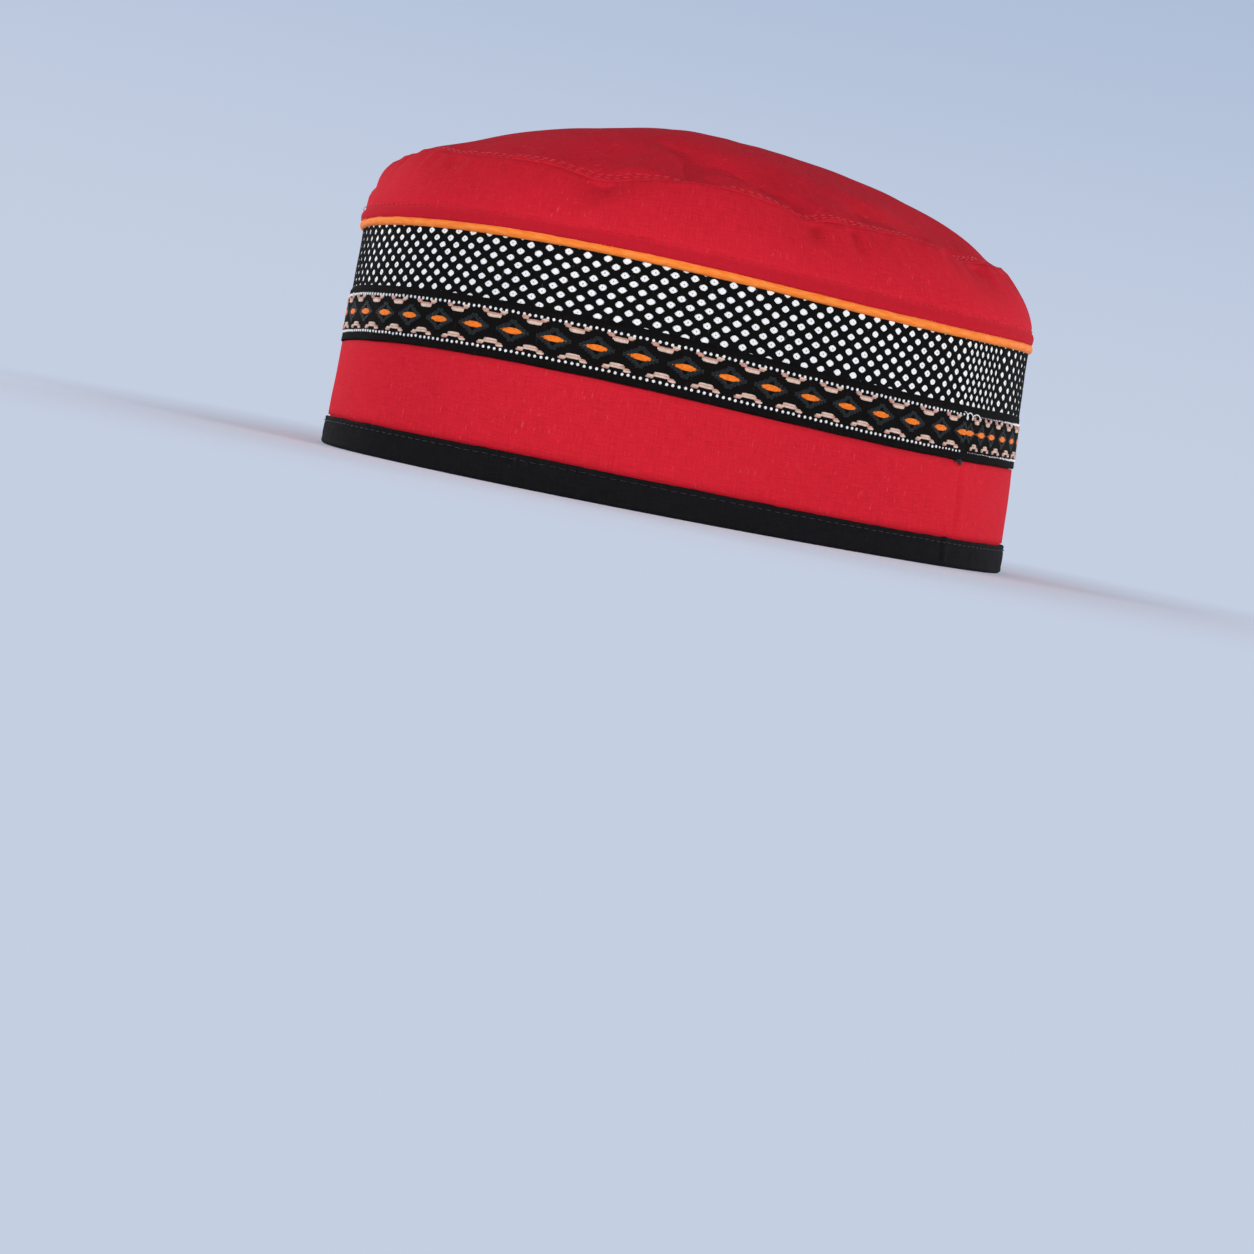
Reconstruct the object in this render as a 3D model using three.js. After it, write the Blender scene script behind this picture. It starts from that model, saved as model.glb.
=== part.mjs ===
// A kufi: a brimless cloth cap with an upright side, two woven bands round it and a soft domed top.
// It stands on its rim. The front faces -Y, the wearer's left is +X, and sizes are in millimetres.
// Every piece is turned as a ring of one cross-section, and then laid on the head's oval.
import * as THREE from "three";

// The head's oval, at the outer face of the side wall where it meets the rim.
const OVAL_LENGTH = 205;
const OVAL_BREADTH = 174;
const OVAL_FULLNESS = 2.18; // 2 is a plain ellipse, and more is squarer
const BACK_FULLNESS = 0.04; // added at the back, and taken away at the front
const EGG = 0.055; // how much broader the back is than the front
const WALL_TAPER = 0.038; // inward, for each millimetre of height

// Heights of the seams and edges above the rim.
const BINDING_TOP = 8;
const TRIM_BOTTOM = 29.9;
const TRIM_HEIGHT = 14.4;
const PIPING_BOTTOM = 62.2;
const PIPING_HEIGHT = 2.4;
const SHOULDER_RISE = 18.8;
const DOME_RISE = 21.9;
const DOME_POWER = 2.09; // 2 is a parabola

// Thicknesses and gaps.
const GAP = 0.3;
const WALL = 2.3; // red cloth, folded double over its stiffening
const WALL_LINING = 1.2; // what is left of it behind the two bands
const RIBBON = 0.9;
const CROWN_CLOTH = 1.6;
const BINDING_CLOTH = 1;
const BINDING_PROUD = 0.7;
const TRIM_PROUD = 0.3;
const PIPING_PROUD = 1.1;
const SHOULDER_PROUD = 1;
const SEAM_ALLOWANCE = 4.6;

// The shoulder curves in by these, for the whole rise: straight part and rounded part.
const SHOULDER_STRAIGHT = 0.4;
const SHOULDER_ROUND = 10.1;

const TURNS = 72; // facets round the oval
const REFERENCE = 100; // radius of the ring that an outer wall face is turned at

const EDGES = {
  trimTop: TRIM_BOTTOM + TRIM_HEIGHT,
  bandBottom: TRIM_BOTTOM + TRIM_HEIGHT / 2,
  pipingTop: PIPING_BOTTOM + PIPING_HEIGHT,
  shoulderBottom: PIPING_BOTTOM + PIPING_HEIGHT + GAP,
  topSeam: PIPING_BOTTOM + PIPING_HEIGHT + GAP + SHOULDER_RISE,
};

// The rim is level, and what is sewn above it waves and leans a little. Rises are millimetres
// for each 100 towards the back and the wearer's left, and wave is the share of WAVES there.
const LEVELS = [
  { height: 0, backRise: 0, leftRise: 0, wave: 0, forward: 0, rightward: 0 },
  { height: TRIM_BOTTOM, backRise: 0.3, leftRise: 0.7, wave: 1, forward: 1.3, rightward: 0 },
  { height: EDGES.trimTop, backRise: 0.3, leftRise: 0.7, wave: 1, forward: 1.9, rightward: 0 },
  { height: PIPING_BOTTOM, backRise: 1.4, leftRise: 0.7, wave: 1, forward: 2.7, rightward: 0 },
  { height: EDGES.topSeam, backRise: 2.4, leftRise: 2, wave: 0.7, forward: 4.2, rightward: 1.2 },
];

// Waves of the sewn levels round the head, in millimetres of height.
const WAVES = [
  { count: 2, cosine: -0.96, sine: -0.83 },
  { count: 3, cosine: -0.32, sine: 0.29 },
];

// Places where the top seam is pulled in and down, or swells: degrees from +X towards +Y.
const PUCKERS = [
  { turn: 25, width: 7, inward: 1.1, down: 1.9 },
  { turn: 43, width: 12, inward: 0.2, down: 1.1 },
  { turn: 66, width: 8, inward: 0.8, down: 0.5 },
  { turn: 104, width: 6, inward: 0.9, down: 0.9 },
  { turn: 151, width: 8, inward: 0.8, down: 0.7 },
  { turn: 197, width: 6, inward: 0.9, down: 0.9 },
  { turn: 232, width: 18, inward: -1.2, down: -0.5 },
  { turn: 262, width: 7, inward: 0.3, down: -1.3 },
  { turn: 300, width: 6, inward: 1.3, down: 2.1 },
  { turn: 320, width: 10, inward: -0.3, down: -1.7 },
  { turn: 339, width: 5, inward: 0.9, down: 1.4 },
  { turn: 349, width: 3.5, inward: 1, down: 0.2 },
];
const PUCKER_REACH = 9;

// Soft valleys in the domed top: where along the radius each is deepest, from 0 at the middle to 1.
const VALLEYS = [
  { turn: 29, width: 13, along: 0.86, length: 0.22, depth: 1.5 },
  { turn: 84, width: 16, along: 0.8, length: 0.3, depth: 1.4 },
  { turn: 137, width: 14, along: 0.78, length: 0.26, depth: 1.5 },
  { turn: 188, width: 15, along: 0.82, length: 0.28, depth: 1.3 },
  { turn: 241, width: 15, along: 0.8, length: 0.26, depth: 1.2 },
  { turn: 301, width: 9, along: 0.84, length: 0.24, depth: 1.8 },
  { turn: 315, width: 6, along: 0.72, length: 0.18, depth: 1 },
  { turn: 331, width: 9, along: 0.74, length: 0.24, depth: 2 },
];

// How the cap is laid at a height, read between the rows of LEVELS.
function levelAt(height) {
  const next = LEVELS.findIndex((row) => row.height > height);
  const high = LEVELS[next < 0 ? LEVELS.length - 1 : next];
  const low = LEVELS[next < 0 ? LEVELS.length - 1 : Math.max(next - 1, 0)];
  const share = high === low ? 0 : (height - low.height) / (high.height - low.height);
  const level = {};
  for (const key of Object.keys(high)) level[key] = low[key] + share * (high[key] - low[key]);
  return level;
}

function bell(distance, width) {
  return Math.exp(-((distance / width) ** 2));
}

function degreesApart(a, b) {
  return Math.abs(((a - b + 540) % 360) - 180);
}

// The wall's outer face, measured from the oval at the rim.
function wallFace(height) {
  return -WALL_TAPER * height;
}

// A point of the shoulder's cross-section: share is 0 at the piping and 1 at the top seam.
function shoulderPoint(share, depth = 0) {
  const start = wallFace(EDGES.shoulderBottom) + SHOULDER_PROUD;
  const offset = start + SHOULDER_STRAIGHT * share - SHOULDER_ROUND * share * share;
  const slope = (SHOULDER_STRAIGHT - 2 * SHOULDER_ROUND * share) / SHOULDER_RISE;
  const steep = Math.hypot(1, slope);
  return {
    offset: offset - depth / steep,
    height: EDGES.shoulderBottom + SHOULDER_RISE * share + (depth * slope) / steep,
  };
}

// The dome starts a gap further on along the shoulder's slope.
const DOME_EDGE = 1 + (0.7 * GAP) / SHOULDER_RISE;
const SEAM = shoulderPoint(DOME_EDGE);
const DOME_RADIUS = REFERENCE + SEAM.offset;

// A point of the dome's cross-section: share is 0 at the middle and 1 at the top seam.
function domePoint(share, depth = 0) {
  const slope = (-DOME_RISE * DOME_POWER * share ** (DOME_POWER - 1)) / DOME_RADIUS;
  const steep = Math.hypot(1, slope);
  return {
    offset: DOME_RADIUS * share - REFERENCE + (depth * slope) / steep,
    height: SEAM.height + DOME_RISE * (1 - share ** DOME_POWER) - depth / steep,
  };
}

// Lays a point of a turned ring on the head's oval. turn is in radians from +X towards +Y.
function onHead(turn, radius, height) {
  const degrees = THREE.MathUtils.radToDeg(turn);
  const level = levelAt(height);
  const fullness = OVAL_FULLNESS + BACK_FULLNESS * Math.sin(turn);
  // Towards the middle of the dome the oval's own stretch fades out.
  const stretch = Math.sin((Math.PI / 2) * Math.min(1, radius / (DOME_RADIUS - WALL)));
  const halfLength = radius + (OVAL_LENGTH / 2 - REFERENCE) * stretch;
  const halfBreadth = radius + (OVAL_BREADTH / 2 - REFERENCE) * stretch;
  let reach = 0;
  if (radius > 0) {
    const across = (Math.abs(Math.cos(turn)) / halfBreadth) ** fullness;
    const along = (Math.abs(Math.sin(turn)) / halfLength) ** fullness;
    reach = (across + along) ** (-1 / fullness);
  }
  const seamDistance = Math.hypot(radius - REFERENCE - SEAM.offset, height - SEAM.height);
  const pull = bell(seamDistance, PUCKER_REACH);
  let dropped = 0;
  for (const pucker of PUCKERS) {
    const share = pull * bell(degreesApart(degrees, pucker.turn), pucker.width);
    reach -= pucker.inward * share;
    dropped += pucker.down * share;
  }
  if (height > EDGES.shoulderBottom) {
    for (const valley of VALLEYS) {
      const along = bell(radius / DOME_RADIUS - valley.along, valley.length / 2);
      dropped += valley.depth * along * bell(degreesApart(degrees, valley.turn), valley.width);
    }
  }
  const y = reach * Math.sin(turn);
  const x = reach * Math.cos(turn) * (1 + (EGG * y) / (OVAL_LENGTH / 2));
  let raised = (level.backRise * y + level.leftRise * x) / 100;
  const waving = level.wave * Math.min(1, radius / DOME_RADIUS);
  for (const wave of WAVES) {
    const angle = wave.count * turn;
    raised += waving * (wave.cosine * Math.cos(angle) + wave.sine * Math.sin(angle));
  }
  return [x - level.rightward, y - level.forward, height + raised - dropped];
}

// Turns a cross-section, a list of { offset, height } that runs round the solid, into a piece.
function piece(name, section, colour, roughness) {
  const points = section.map((p) => new THREE.Vector2(REFERENCE + p.offset, p.height));
  const geometry = new THREE.LatheGeometry(points, TURNS);
  const position = geometry.getAttribute("position");
  for (let i = 0; i < position.count; i += 1) {
    const [x, height, z] = [position.getX(i), position.getY(i), position.getZ(i)];
    const onAxis = Math.hypot(x, z) < 1e-6;
    const turn = onAxis ? 0 : (Math.atan2(x, z) + 2 * Math.PI) % (2 * Math.PI);
    position.setXYZ(i, ...onHead(turn, onAxis ? 0 : Math.hypot(x, z), height));
  }
  geometry.computeVertexNormals();
  const material = new THREE.MeshStandardMaterial({ color: colour, roughness, metalness: 0 });
  const mesh = new THREE.Mesh(geometry, material);
  mesh.name = name;
  return mesh;
}

function closed(section) {
  return [...section, section[0]];
}

// The black binding is folded round the raw edge, so its section is a U with rounded corners.
function rimBinding() {
  const outer = BINDING_PROUD;
  const inner = -WALL - GAP - BINDING_CLOTH;
  const corner = 1;
  const floor = BINDING_CLOTH + GAP;
  return piece(
    "rim_binding",
    closed([
      { offset: outer + wallFace(BINDING_TOP), height: BINDING_TOP },
      { offset: outer - BINDING_CLOTH + wallFace(BINDING_TOP), height: BINDING_TOP },
      { offset: outer - BINDING_CLOTH, height: floor },
      { offset: inner + BINDING_CLOTH, height: floor },
      { offset: inner + BINDING_CLOTH + wallFace(BINDING_TOP), height: BINDING_TOP },
      { offset: inner + wallFace(BINDING_TOP), height: BINDING_TOP },
      { offset: inner, height: corner },
      { offset: inner + 0.3 * corner, height: 0.3 * corner },
      { offset: inner + corner, height: 0 },
      { offset: outer - corner, height: 0 },
      { offset: outer - 0.3 * corner, height: 0.3 * corner },
      { offset: outer, height: corner },
    ]),
    "#1a191b",
    0.85,
  );
}

// How deep the wall and the dotted band lie where another piece covers them.
const UNDER_TRIM = TRIM_PROUD - RIBBON - GAP;
const BAND_BACK = UNDER_TRIM - RIBBON;
const UNDER_BAND = BAND_BACK - GAP;

// The red wall runs from inside the binding to behind the piping. It is thinner and further in
// where the binding and the two bands lie on it, so that the outside stays nearly flush.
function sideWall() {
  const foot = BINDING_CLOTH + 2 * GAP;
  const step = BINDING_TOP + GAP;
  const head = EDGES.shoulderBottom + 2;
  const underBinding = BINDING_PROUD - BINDING_CLOTH - GAP;
  const trimFoot = TRIM_BOTTOM - GAP;
  const bandFoot = EDGES.bandBottom - GAP;
  return piece(
    "side_wall",
    closed([
      { offset: wallFace(head) + UNDER_BAND, height: head },
      { offset: wallFace(head) + UNDER_BAND - WALL_LINING, height: head },
      { offset: wallFace(bandFoot) + UNDER_BAND - WALL_LINING, height: bandFoot },
      { offset: wallFace(trimFoot) - WALL, height: trimFoot },
      { offset: -WALL, height: foot },
      { offset: underBinding, height: foot },
      { offset: underBinding + wallFace(step), height: step },
      { offset: wallFace(step), height: step },
      { offset: wallFace(trimFoot), height: trimFoot },
      { offset: wallFace(trimFoot) + UNDER_TRIM, height: trimFoot },
      { offset: wallFace(bandFoot) + UNDER_TRIM, height: bandFoot },
      { offset: wallFace(bandFoot) + UNDER_BAND, height: bandFoot },
    ]),
    "#c8202f",
    0.8,
  );
}

// The black band with white spots is sewn in flush with the wall, down to behind the trim.
function dottedBand() {
  const top = PIPING_BOTTOM - GAP;
  const foot = EDGES.bandBottom;
  const step = EDGES.trimTop + GAP;
  return piece(
    "dotted_band",
    closed([
      { offset: wallFace(top), height: top },
      { offset: wallFace(top) + BAND_BACK, height: top },
      { offset: wallFace(foot) + BAND_BACK, height: foot },
      { offset: wallFace(foot) + UNDER_TRIM, height: foot },
      { offset: wallFace(step) + UNDER_TRIM, height: step },
      { offset: wallFace(step), height: step },
    ]),
    "#3a3a3c",
    0.75,
  );
}

// The patterned ribbon lies over the join between the wall and the dotted band.
function wovenTrim() {
  const outer = TRIM_PROUD;
  const inner = outer - RIBBON;
  const rounding = RIBBON / 4;
  return piece(
    "woven_trim",
    closed([
      { offset: wallFace(EDGES.trimTop) + outer - rounding, height: EDGES.trimTop },
      { offset: wallFace(EDGES.trimTop) + inner, height: EDGES.trimTop },
      { offset: wallFace(TRIM_BOTTOM) + inner, height: TRIM_BOTTOM },
      { offset: wallFace(TRIM_BOTTOM) + outer - rounding, height: TRIM_BOTTOM },
      { offset: wallFace(TRIM_BOTTOM) + outer, height: TRIM_BOTTOM + rounding },
      { offset: wallFace(EDGES.trimTop) + outer, height: EDGES.trimTop - rounding },
    ]),
    "#2a2423",
    0.8,
  );
}

// The orange piping is a folded strip that stands out of the seam as a small rounded bead.
function piping() {
  const base = wallFace(PIPING_BOTTOM);
  const half = PIPING_HEIGHT / 2;
  const middle = PIPING_BOTTOM + half;
  const bead = [-90, -54, -18, 18, 54, 90].map((degrees) => {
    const angle = THREE.MathUtils.degToRad(degrees);
    return {
      offset: base + PIPING_PROUD - half + half * Math.cos(angle),
      height: middle + half * Math.sin(angle),
    };
  });
  const root = base - RIBBON;
  return piece(
    "piping",
    closed([
      { offset: root, height: EDGES.pipingTop },
      { offset: root, height: PIPING_BOTTOM },
      ...bead,
    ]),
    "#f58434",
    0.6,
  );
}

// The red shoulder between the piping and the top seam.
function shoulderBand() {
  const shares = [0, 0.2, 0.4, 0.55, 0.7, 0.85, 1];
  const outer = shares.map((share) => shoulderPoint(share));
  const inner = shares.map((share) => shoulderPoint(share, CROWN_CLOTH));
  return piece("shoulder_band", closed([...outer, ...inner.reverse()]), "#c8202f", 0.8);
}

// The domed top, with its seam allowance turned down inside the shoulder.
function crownTop() {
  const shares = [0, 0.16, 0.32, 0.46, 0.58, 0.69, 0.79, 0.88, 0.95, 1];
  const outer = shares.map((share) => domePoint(share));
  const turnedAt = CROWN_CLOTH + GAP;
  const turnedFoot = 1 - SEAM_ALLOWANCE / SHOULDER_RISE;
  const turned = [
    shoulderPoint(0.97, turnedAt + BINDING_CLOTH),
    shoulderPoint(turnedFoot, turnedAt + BINDING_CLOTH),
    shoulderPoint(turnedFoot, turnedAt),
    shoulderPoint(DOME_EDGE, turnedAt),
  ];
  const inner = shares.slice(0, -1).map((share) => domePoint(share, CROWN_CLOTH));
  return piece("crown_top", [...inner, ...turned, ...outer.reverse()], "#c8202f", 0.8);
}

const kufi = new THREE.Group();
kufi.name = "kufi";
kufi.add(
  rimBinding(),
  sideWall(),
  dottedBand(),
  wovenTrim(),
  piping(),
  shoulderBand(),
  crownTop(),
);

// The origin is the middle of the footprint, on the surface that the rim rests on.
const bounds = new THREE.Box3().setFromObject(kufi);
const middle = bounds.getCenter(new THREE.Vector3());
kufi.position.set(-middle.x, -middle.y, -bounds.min.z);

export default kufi;
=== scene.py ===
# %% [markdown]
# A kufi in Blender
#
# A kufi is a cap with no brim: an upright side, bands sewn round it, and a soft low top. This
# lesson dresses a plain CAD model of one in cloth, net, woven ribbon and stitches. The CAD model
# is loaded first and stays fixed, so every piece we make has a place that is already right.

# %% Load the plain model
import itertools
import math
from collections import namedtuple

import bmesh
import bpy
import numpy as np
from mathutils import Matrix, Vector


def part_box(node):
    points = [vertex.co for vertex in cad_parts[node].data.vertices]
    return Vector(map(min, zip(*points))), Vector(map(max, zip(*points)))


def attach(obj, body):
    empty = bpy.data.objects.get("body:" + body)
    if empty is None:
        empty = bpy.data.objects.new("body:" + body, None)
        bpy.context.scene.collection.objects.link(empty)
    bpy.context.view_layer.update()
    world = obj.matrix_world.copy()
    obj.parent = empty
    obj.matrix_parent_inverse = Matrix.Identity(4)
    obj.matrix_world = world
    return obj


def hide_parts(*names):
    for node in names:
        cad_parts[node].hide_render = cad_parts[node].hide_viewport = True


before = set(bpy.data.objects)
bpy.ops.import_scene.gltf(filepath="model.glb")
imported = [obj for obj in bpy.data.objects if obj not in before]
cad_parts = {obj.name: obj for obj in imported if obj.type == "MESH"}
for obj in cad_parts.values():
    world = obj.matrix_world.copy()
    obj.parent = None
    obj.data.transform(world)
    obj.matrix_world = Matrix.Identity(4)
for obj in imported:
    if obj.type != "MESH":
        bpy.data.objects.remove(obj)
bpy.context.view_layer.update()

print("pieces of the plain model:", sorted(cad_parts))

# %% [markdown]
# The head's oval
#
# A cap has no straight lines: its side follows the oval of a head, tapers, leans to the front and
# waves a little. One function holds all of that. We say where a point is along the side, how
# far outside it and how high, and the function lays it on the head. Short tables say how the
# side rises, waves and leans at each level, where gathers pucker the top seam, and where the top
# sinks in valleys. The same numbers made the plain model, so our cloth and the model agree
# everywhere. Lengths are in millimetres, and turns in degrees from the cap's left over the back.

# %% Sizes of the cap
OVAL_LENGTH = 205
OVAL_BREADTH = 174
OVAL_FULLNESS = 2.18
BACK_FULLNESS = 0.04
EGG = 0.055
WALL_TAPER = 0.038
REFERENCE = 100
GAP = 0.3
BINDING_TOP = 8
TRIM_BOTTOM = 29.9
TRIM_TOP = 44.3
PIPING_BOTTOM = 62.2
PIPING_TOP = 64.6
SHOULDER_BOTTOM = PIPING_TOP + GAP
SHOULDER_RISE = 18.8
SHOULDER_PROUD = 1
SHOULDER_STRAIGHT = 0.4
SHOULDER_ROUND = 10.1
DOME_RISE = 21.9
DOME_POWER = 2.09
WALL = 2.3
TOP_SEAM = SHOULDER_BOTTOM + SHOULDER_RISE

LEVELS = {
    "height": [0, TRIM_BOTTOM, TRIM_TOP, PIPING_BOTTOM, TOP_SEAM],
    "back_rise": [0, 0.3, 0.3, 1.4, 2.4],
    "left_rise": [0, 0.7, 0.7, 0.7, 2],
    "wave": [0, 1, 1, 1, 0.7],
    "forward": [0, 1.3, 1.9, 2.7, 4.2],
    "rightward": [0, 0, 0, 0, 1.2],
}
Wave = namedtuple("Wave", "count cosine sine")
WAVES = [Wave(2, -0.96, -0.83), Wave(3, -0.32, 0.29)]
Pucker = namedtuple("Pucker", "turn width inward down")
PUCKERS = [
    Pucker(25, 7, 1.1, 1.9),
    Pucker(43, 12, 0.2, 1.1),
    Pucker(66, 8, 0.8, 0.5),
    Pucker(104, 6, 0.9, 0.9),
    Pucker(151, 8, 0.8, 0.7),
    Pucker(197, 6, 0.9, 0.9),
    Pucker(232, 18, -1.2, -0.5),
    Pucker(262, 7, 0.3, -1.3),
    Pucker(300, 6, 1.3, 2.1),
    Pucker(320, 10, -0.3, -1.7),
    Pucker(339, 5, 0.9, 1.4),
    Pucker(349, 3.5, 1, 0.2),
]
PUCKER_REACH = 9
Valley = namedtuple("Valley", "turn width along length depth")
VALLEYS = [
    Valley(29, 13, 0.86, 0.22, 1.5),
    Valley(84, 16, 0.8, 0.3, 1.4),
    Valley(137, 14, 0.78, 0.26, 1.5),
    Valley(188, 15, 0.82, 0.28, 1.3),
    Valley(241, 15, 0.8, 0.26, 1.2),
    Valley(301, 9, 0.84, 0.24, 1.8),
    Valley(315, 6, 0.72, 0.18, 1),
    Valley(331, 9, 0.74, 0.24, 2),
]
print("puckers along the top seam:", len(PUCKERS))


# %% Cross-sections of the side, the shoulder and the dome
def bell(distance, width):
    return np.exp(-((distance / width) ** 2))


def degrees_apart(a, b):
    return np.abs((a - b + 540) % 360 - 180)


def wall_face(height):
    return -WALL_TAPER * np.asarray(height, float)


def shoulder_point(share, depth=0.0):
    """Share 0 is at the piping and 1 at the top seam. Depth goes into the cloth."""
    start = wall_face(SHOULDER_BOTTOM) + SHOULDER_PROUD
    slope = (SHOULDER_STRAIGHT - 2 * SHOULDER_ROUND * share) / SHOULDER_RISE
    steep = np.hypot(1, slope)
    offset = start + SHOULDER_STRAIGHT * share - SHOULDER_ROUND * share**2 - depth / steep
    return offset, SHOULDER_BOTTOM + SHOULDER_RISE * share + depth * slope / steep


DOME_EDGE = 1 + 0.7 * GAP / SHOULDER_RISE
SEAM_OFFSET, SEAM_HEIGHT = shoulder_point(DOME_EDGE)
DOME_RADIUS = REFERENCE + SEAM_OFFSET


def dome_point(share, depth=0.0):
    """Share 0 is the middle of the top and 1 its seam."""
    slope = -DOME_RISE * DOME_POWER * share ** (DOME_POWER - 1) / DOME_RADIUS
    steep = np.hypot(1, slope)
    height = SEAM_HEIGHT + DOME_RISE * (1 - share**DOME_POWER) - depth / steep
    return DOME_RADIUS * share - REFERENCE + depth * slope / steep, height


print("top seam at", round(float(SEAM_HEIGHT), 1), "mm, dome radius", round(float(DOME_RADIUS), 1))


# %% Lay points on the head
def on_head(turn, radius, height):
    """Turn runs in radians from the cap's left over the back, as on the plain model."""
    turn, radius, height = np.broadcast_arrays(turn, radius, height)
    fullness = OVAL_FULLNESS + BACK_FULLNESS * np.sin(turn)
    stretch = np.sin(np.pi / 2 * np.minimum(1, radius / (DOME_RADIUS - WALL)))
    half_length = radius + (OVAL_LENGTH / 2 - REFERENCE) * stretch
    half_breadth = radius + (OVAL_BREADTH / 2 - REFERENCE) * stretch
    across = (np.abs(np.cos(turn)) / half_breadth) ** fullness
    along = (np.abs(np.sin(turn)) / half_length) ** fullness
    reach = (across + along) ** (-1 / fullness)
    pull = bell(np.hypot(radius - REFERENCE - SEAM_OFFSET, height - SEAM_HEIGHT), PUCKER_REACH)
    degrees = np.degrees(turn)
    dropped = np.zeros_like(reach)
    for pucker in PUCKERS:
        share = pull * bell(degrees_apart(degrees, pucker.turn), pucker.width)
        reach = reach - pucker.inward * share
        dropped = dropped + pucker.down * share
    on_top = height > SHOULDER_BOTTOM
    for valley in VALLEYS:
        near = bell(radius / DOME_RADIUS - valley.along, valley.length / 2)
        beside = bell(degrees_apart(degrees, valley.turn), valley.width)
        dropped = dropped + on_top * valley.depth * near * beside
    y = reach * np.sin(turn)
    x = reach * np.cos(turn) * (1 + EGG * y / (OVAL_LENGTH / 2))
    level = {key: np.interp(height, LEVELS["height"], row) for key, row in LEVELS.items()}
    raised = (level["back_rise"] * y + level["left_rise"] * x) / 100
    waving = level["wave"] * np.minimum(1, radius / DOME_RADIUS)
    for wave in WAVES:
        angle = wave.count * turn
        raised = raised + waving * (wave.cosine * np.cos(angle) + wave.sine * np.sin(angle))
    return np.stack(
        [x - level["rightward"], y - level["forward"], height + raised - dropped], axis=-1
    )


print("the foot's left end:", on_head(0, REFERENCE, 0).round(1), "mm")

# %% [markdown]
# Measuring along the side
#
# A ribbon's pattern repeats at even steps along the ribbon, not at even angles round the head.
# So we measure once round the oval, and from then on say where things are in millimetres along
# it. The plain model is centred on its footprint, so our own oval is moved to the same centre.

# %% Measure round the oval
FINE_TURNS = np.linspace(0, 2 * np.pi, 2881)
middle_ring = on_head(FINE_TURNS, REFERENCE + wall_face(37.3), 37.3)
steps = np.linalg.norm(np.diff(middle_ring, axis=0), axis=1)
FINE_LENGTHS = np.concatenate([[0], np.cumsum(steps)])
ROUND = FINE_LENGTHS[-1]

TAPE_PROUD = 0.7
model_turns = np.radians(np.arange(0, 360, 5))
foot_ring = on_head(model_turns, REFERENCE + TAPE_PROUD, 1.0)
low_corner, high_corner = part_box("rim_binding")
foot_middle = (foot_ring.min(axis=0) + foot_ring.max(axis=0)) / 2
model_middle = 1000 * np.array((low_corner + high_corner) / 2)
CENTRING = np.array([model_middle[0] - foot_middle[0], model_middle[1] - foot_middle[1], 0])


def turn_at(along):
    return np.interp(np.asarray(along, float) % ROUND, FINE_LENGTHS, FINE_TURNS)


def lay(along, offset, height):
    """A place in metres, from millimetres along the side, outside the reference and up."""
    radius = np.maximum(REFERENCE + np.asarray(offset, float), 0.01)
    return (on_head(turn_at(along), radius, np.asarray(height, float)) + CENTRING) / 1000


print("once round the side:", round(ROUND, 1), "mm; moved by", CENTRING.round(3), "mm")

# %% [markdown]
# The camera
#
# We look at the cap from its front left, a little above the rim, with the camera rolled to
# the side. Blender's camera looks along its own minus Z, so three directions and a spot say all
# about it. The lens comes from how large the cap is in the picture.

# %% Directions for the camera and the lights
def directions(azimuth, elevation):
    """From the cap to whoever looks at it from these angles in degrees, and to their right."""
    azimuth, elevation = math.radians(azimuth), math.radians(elevation)
    away = [
        math.sin(azimuth) * math.cos(elevation),
        -math.cos(azimuth) * math.cos(elevation),
        math.sin(elevation),
    ]
    return np.array(away), np.array([math.cos(azimuth), math.sin(azimuth), 0])


def stand(thing, right, up, back, spot):
    """Turns an object's X, Y and Z to three directions, and puts it at a spot."""
    turned = np.eye(4)
    turned[:3] = np.stack([right, up, back, spot], axis=-1)
    thing.matrix_world = Matrix(turned.tolist())
    bpy.context.scene.collection.objects.link(thing)


print("seen from the right, we look from", directions(90, 0)[0].round(2))

# %% Place the camera
AZIMUTH = 47.335
ELEVATION = 3.857
ROLL = math.radians(11.158)
CAMERA_DISTANCE = 841.2
PICTURE_RIGHT = 9.17
PICTURE_UP = 34.73
LENS_MM = 83.72
SENSOR_MM = 36

back, level_right = directions(AZIMUTH, ELEVATION)
level_up = np.cross(back, level_right)
right = math.cos(ROLL) * level_right + math.sin(ROLL) * level_up
up = -math.sin(ROLL) * level_right + math.cos(ROLL) * level_up
spot = (back * CAMERA_DISTANCE - right * PICTURE_RIGHT - up * PICTURE_UP + CENTRING) / 1000

camera_data = bpy.data.cameras.new("camera")
camera_data.lens = LENS_MM
camera_data.sensor_width = SENSOR_MM
camera_data.clip_start = 0.01
camera = bpy.data.objects.new("camera", camera_data)
stand(camera, right, up, back, spot)
bpy.context.scene.camera = camera
print("camera height above the floor:", round(float(spot[2]) * 1000, 1), "mm")

# %% [markdown]
# Cloth as a grid
#
# Nearly every piece of this cap is a strip that runs round the head. We draw its cross-section
# once, up the outside and down the inside, and sweep it round as a grid of small faces. Each
# face also gets a flat map in millimetres, so that a weave has the right size on every piece.
# Real cloth is never even, so points may then be pushed a little along the surface's normal.

# %% Make a mesh from a section
MAP_NAME = "cloth"


def fine(section, step=1.0):
    """Adds points to a closed section so that no stretch is longer than step."""
    section = np.asarray(section, float)
    rows = []
    for start, end in zip(section, np.roll(section, -1, axis=0)):
        count = max(1, math.ceil(np.linalg.norm(end - start) / step))
        rows.extend(start + (end - start) * k / count for k in range(count))
    return np.array(rows)


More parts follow.
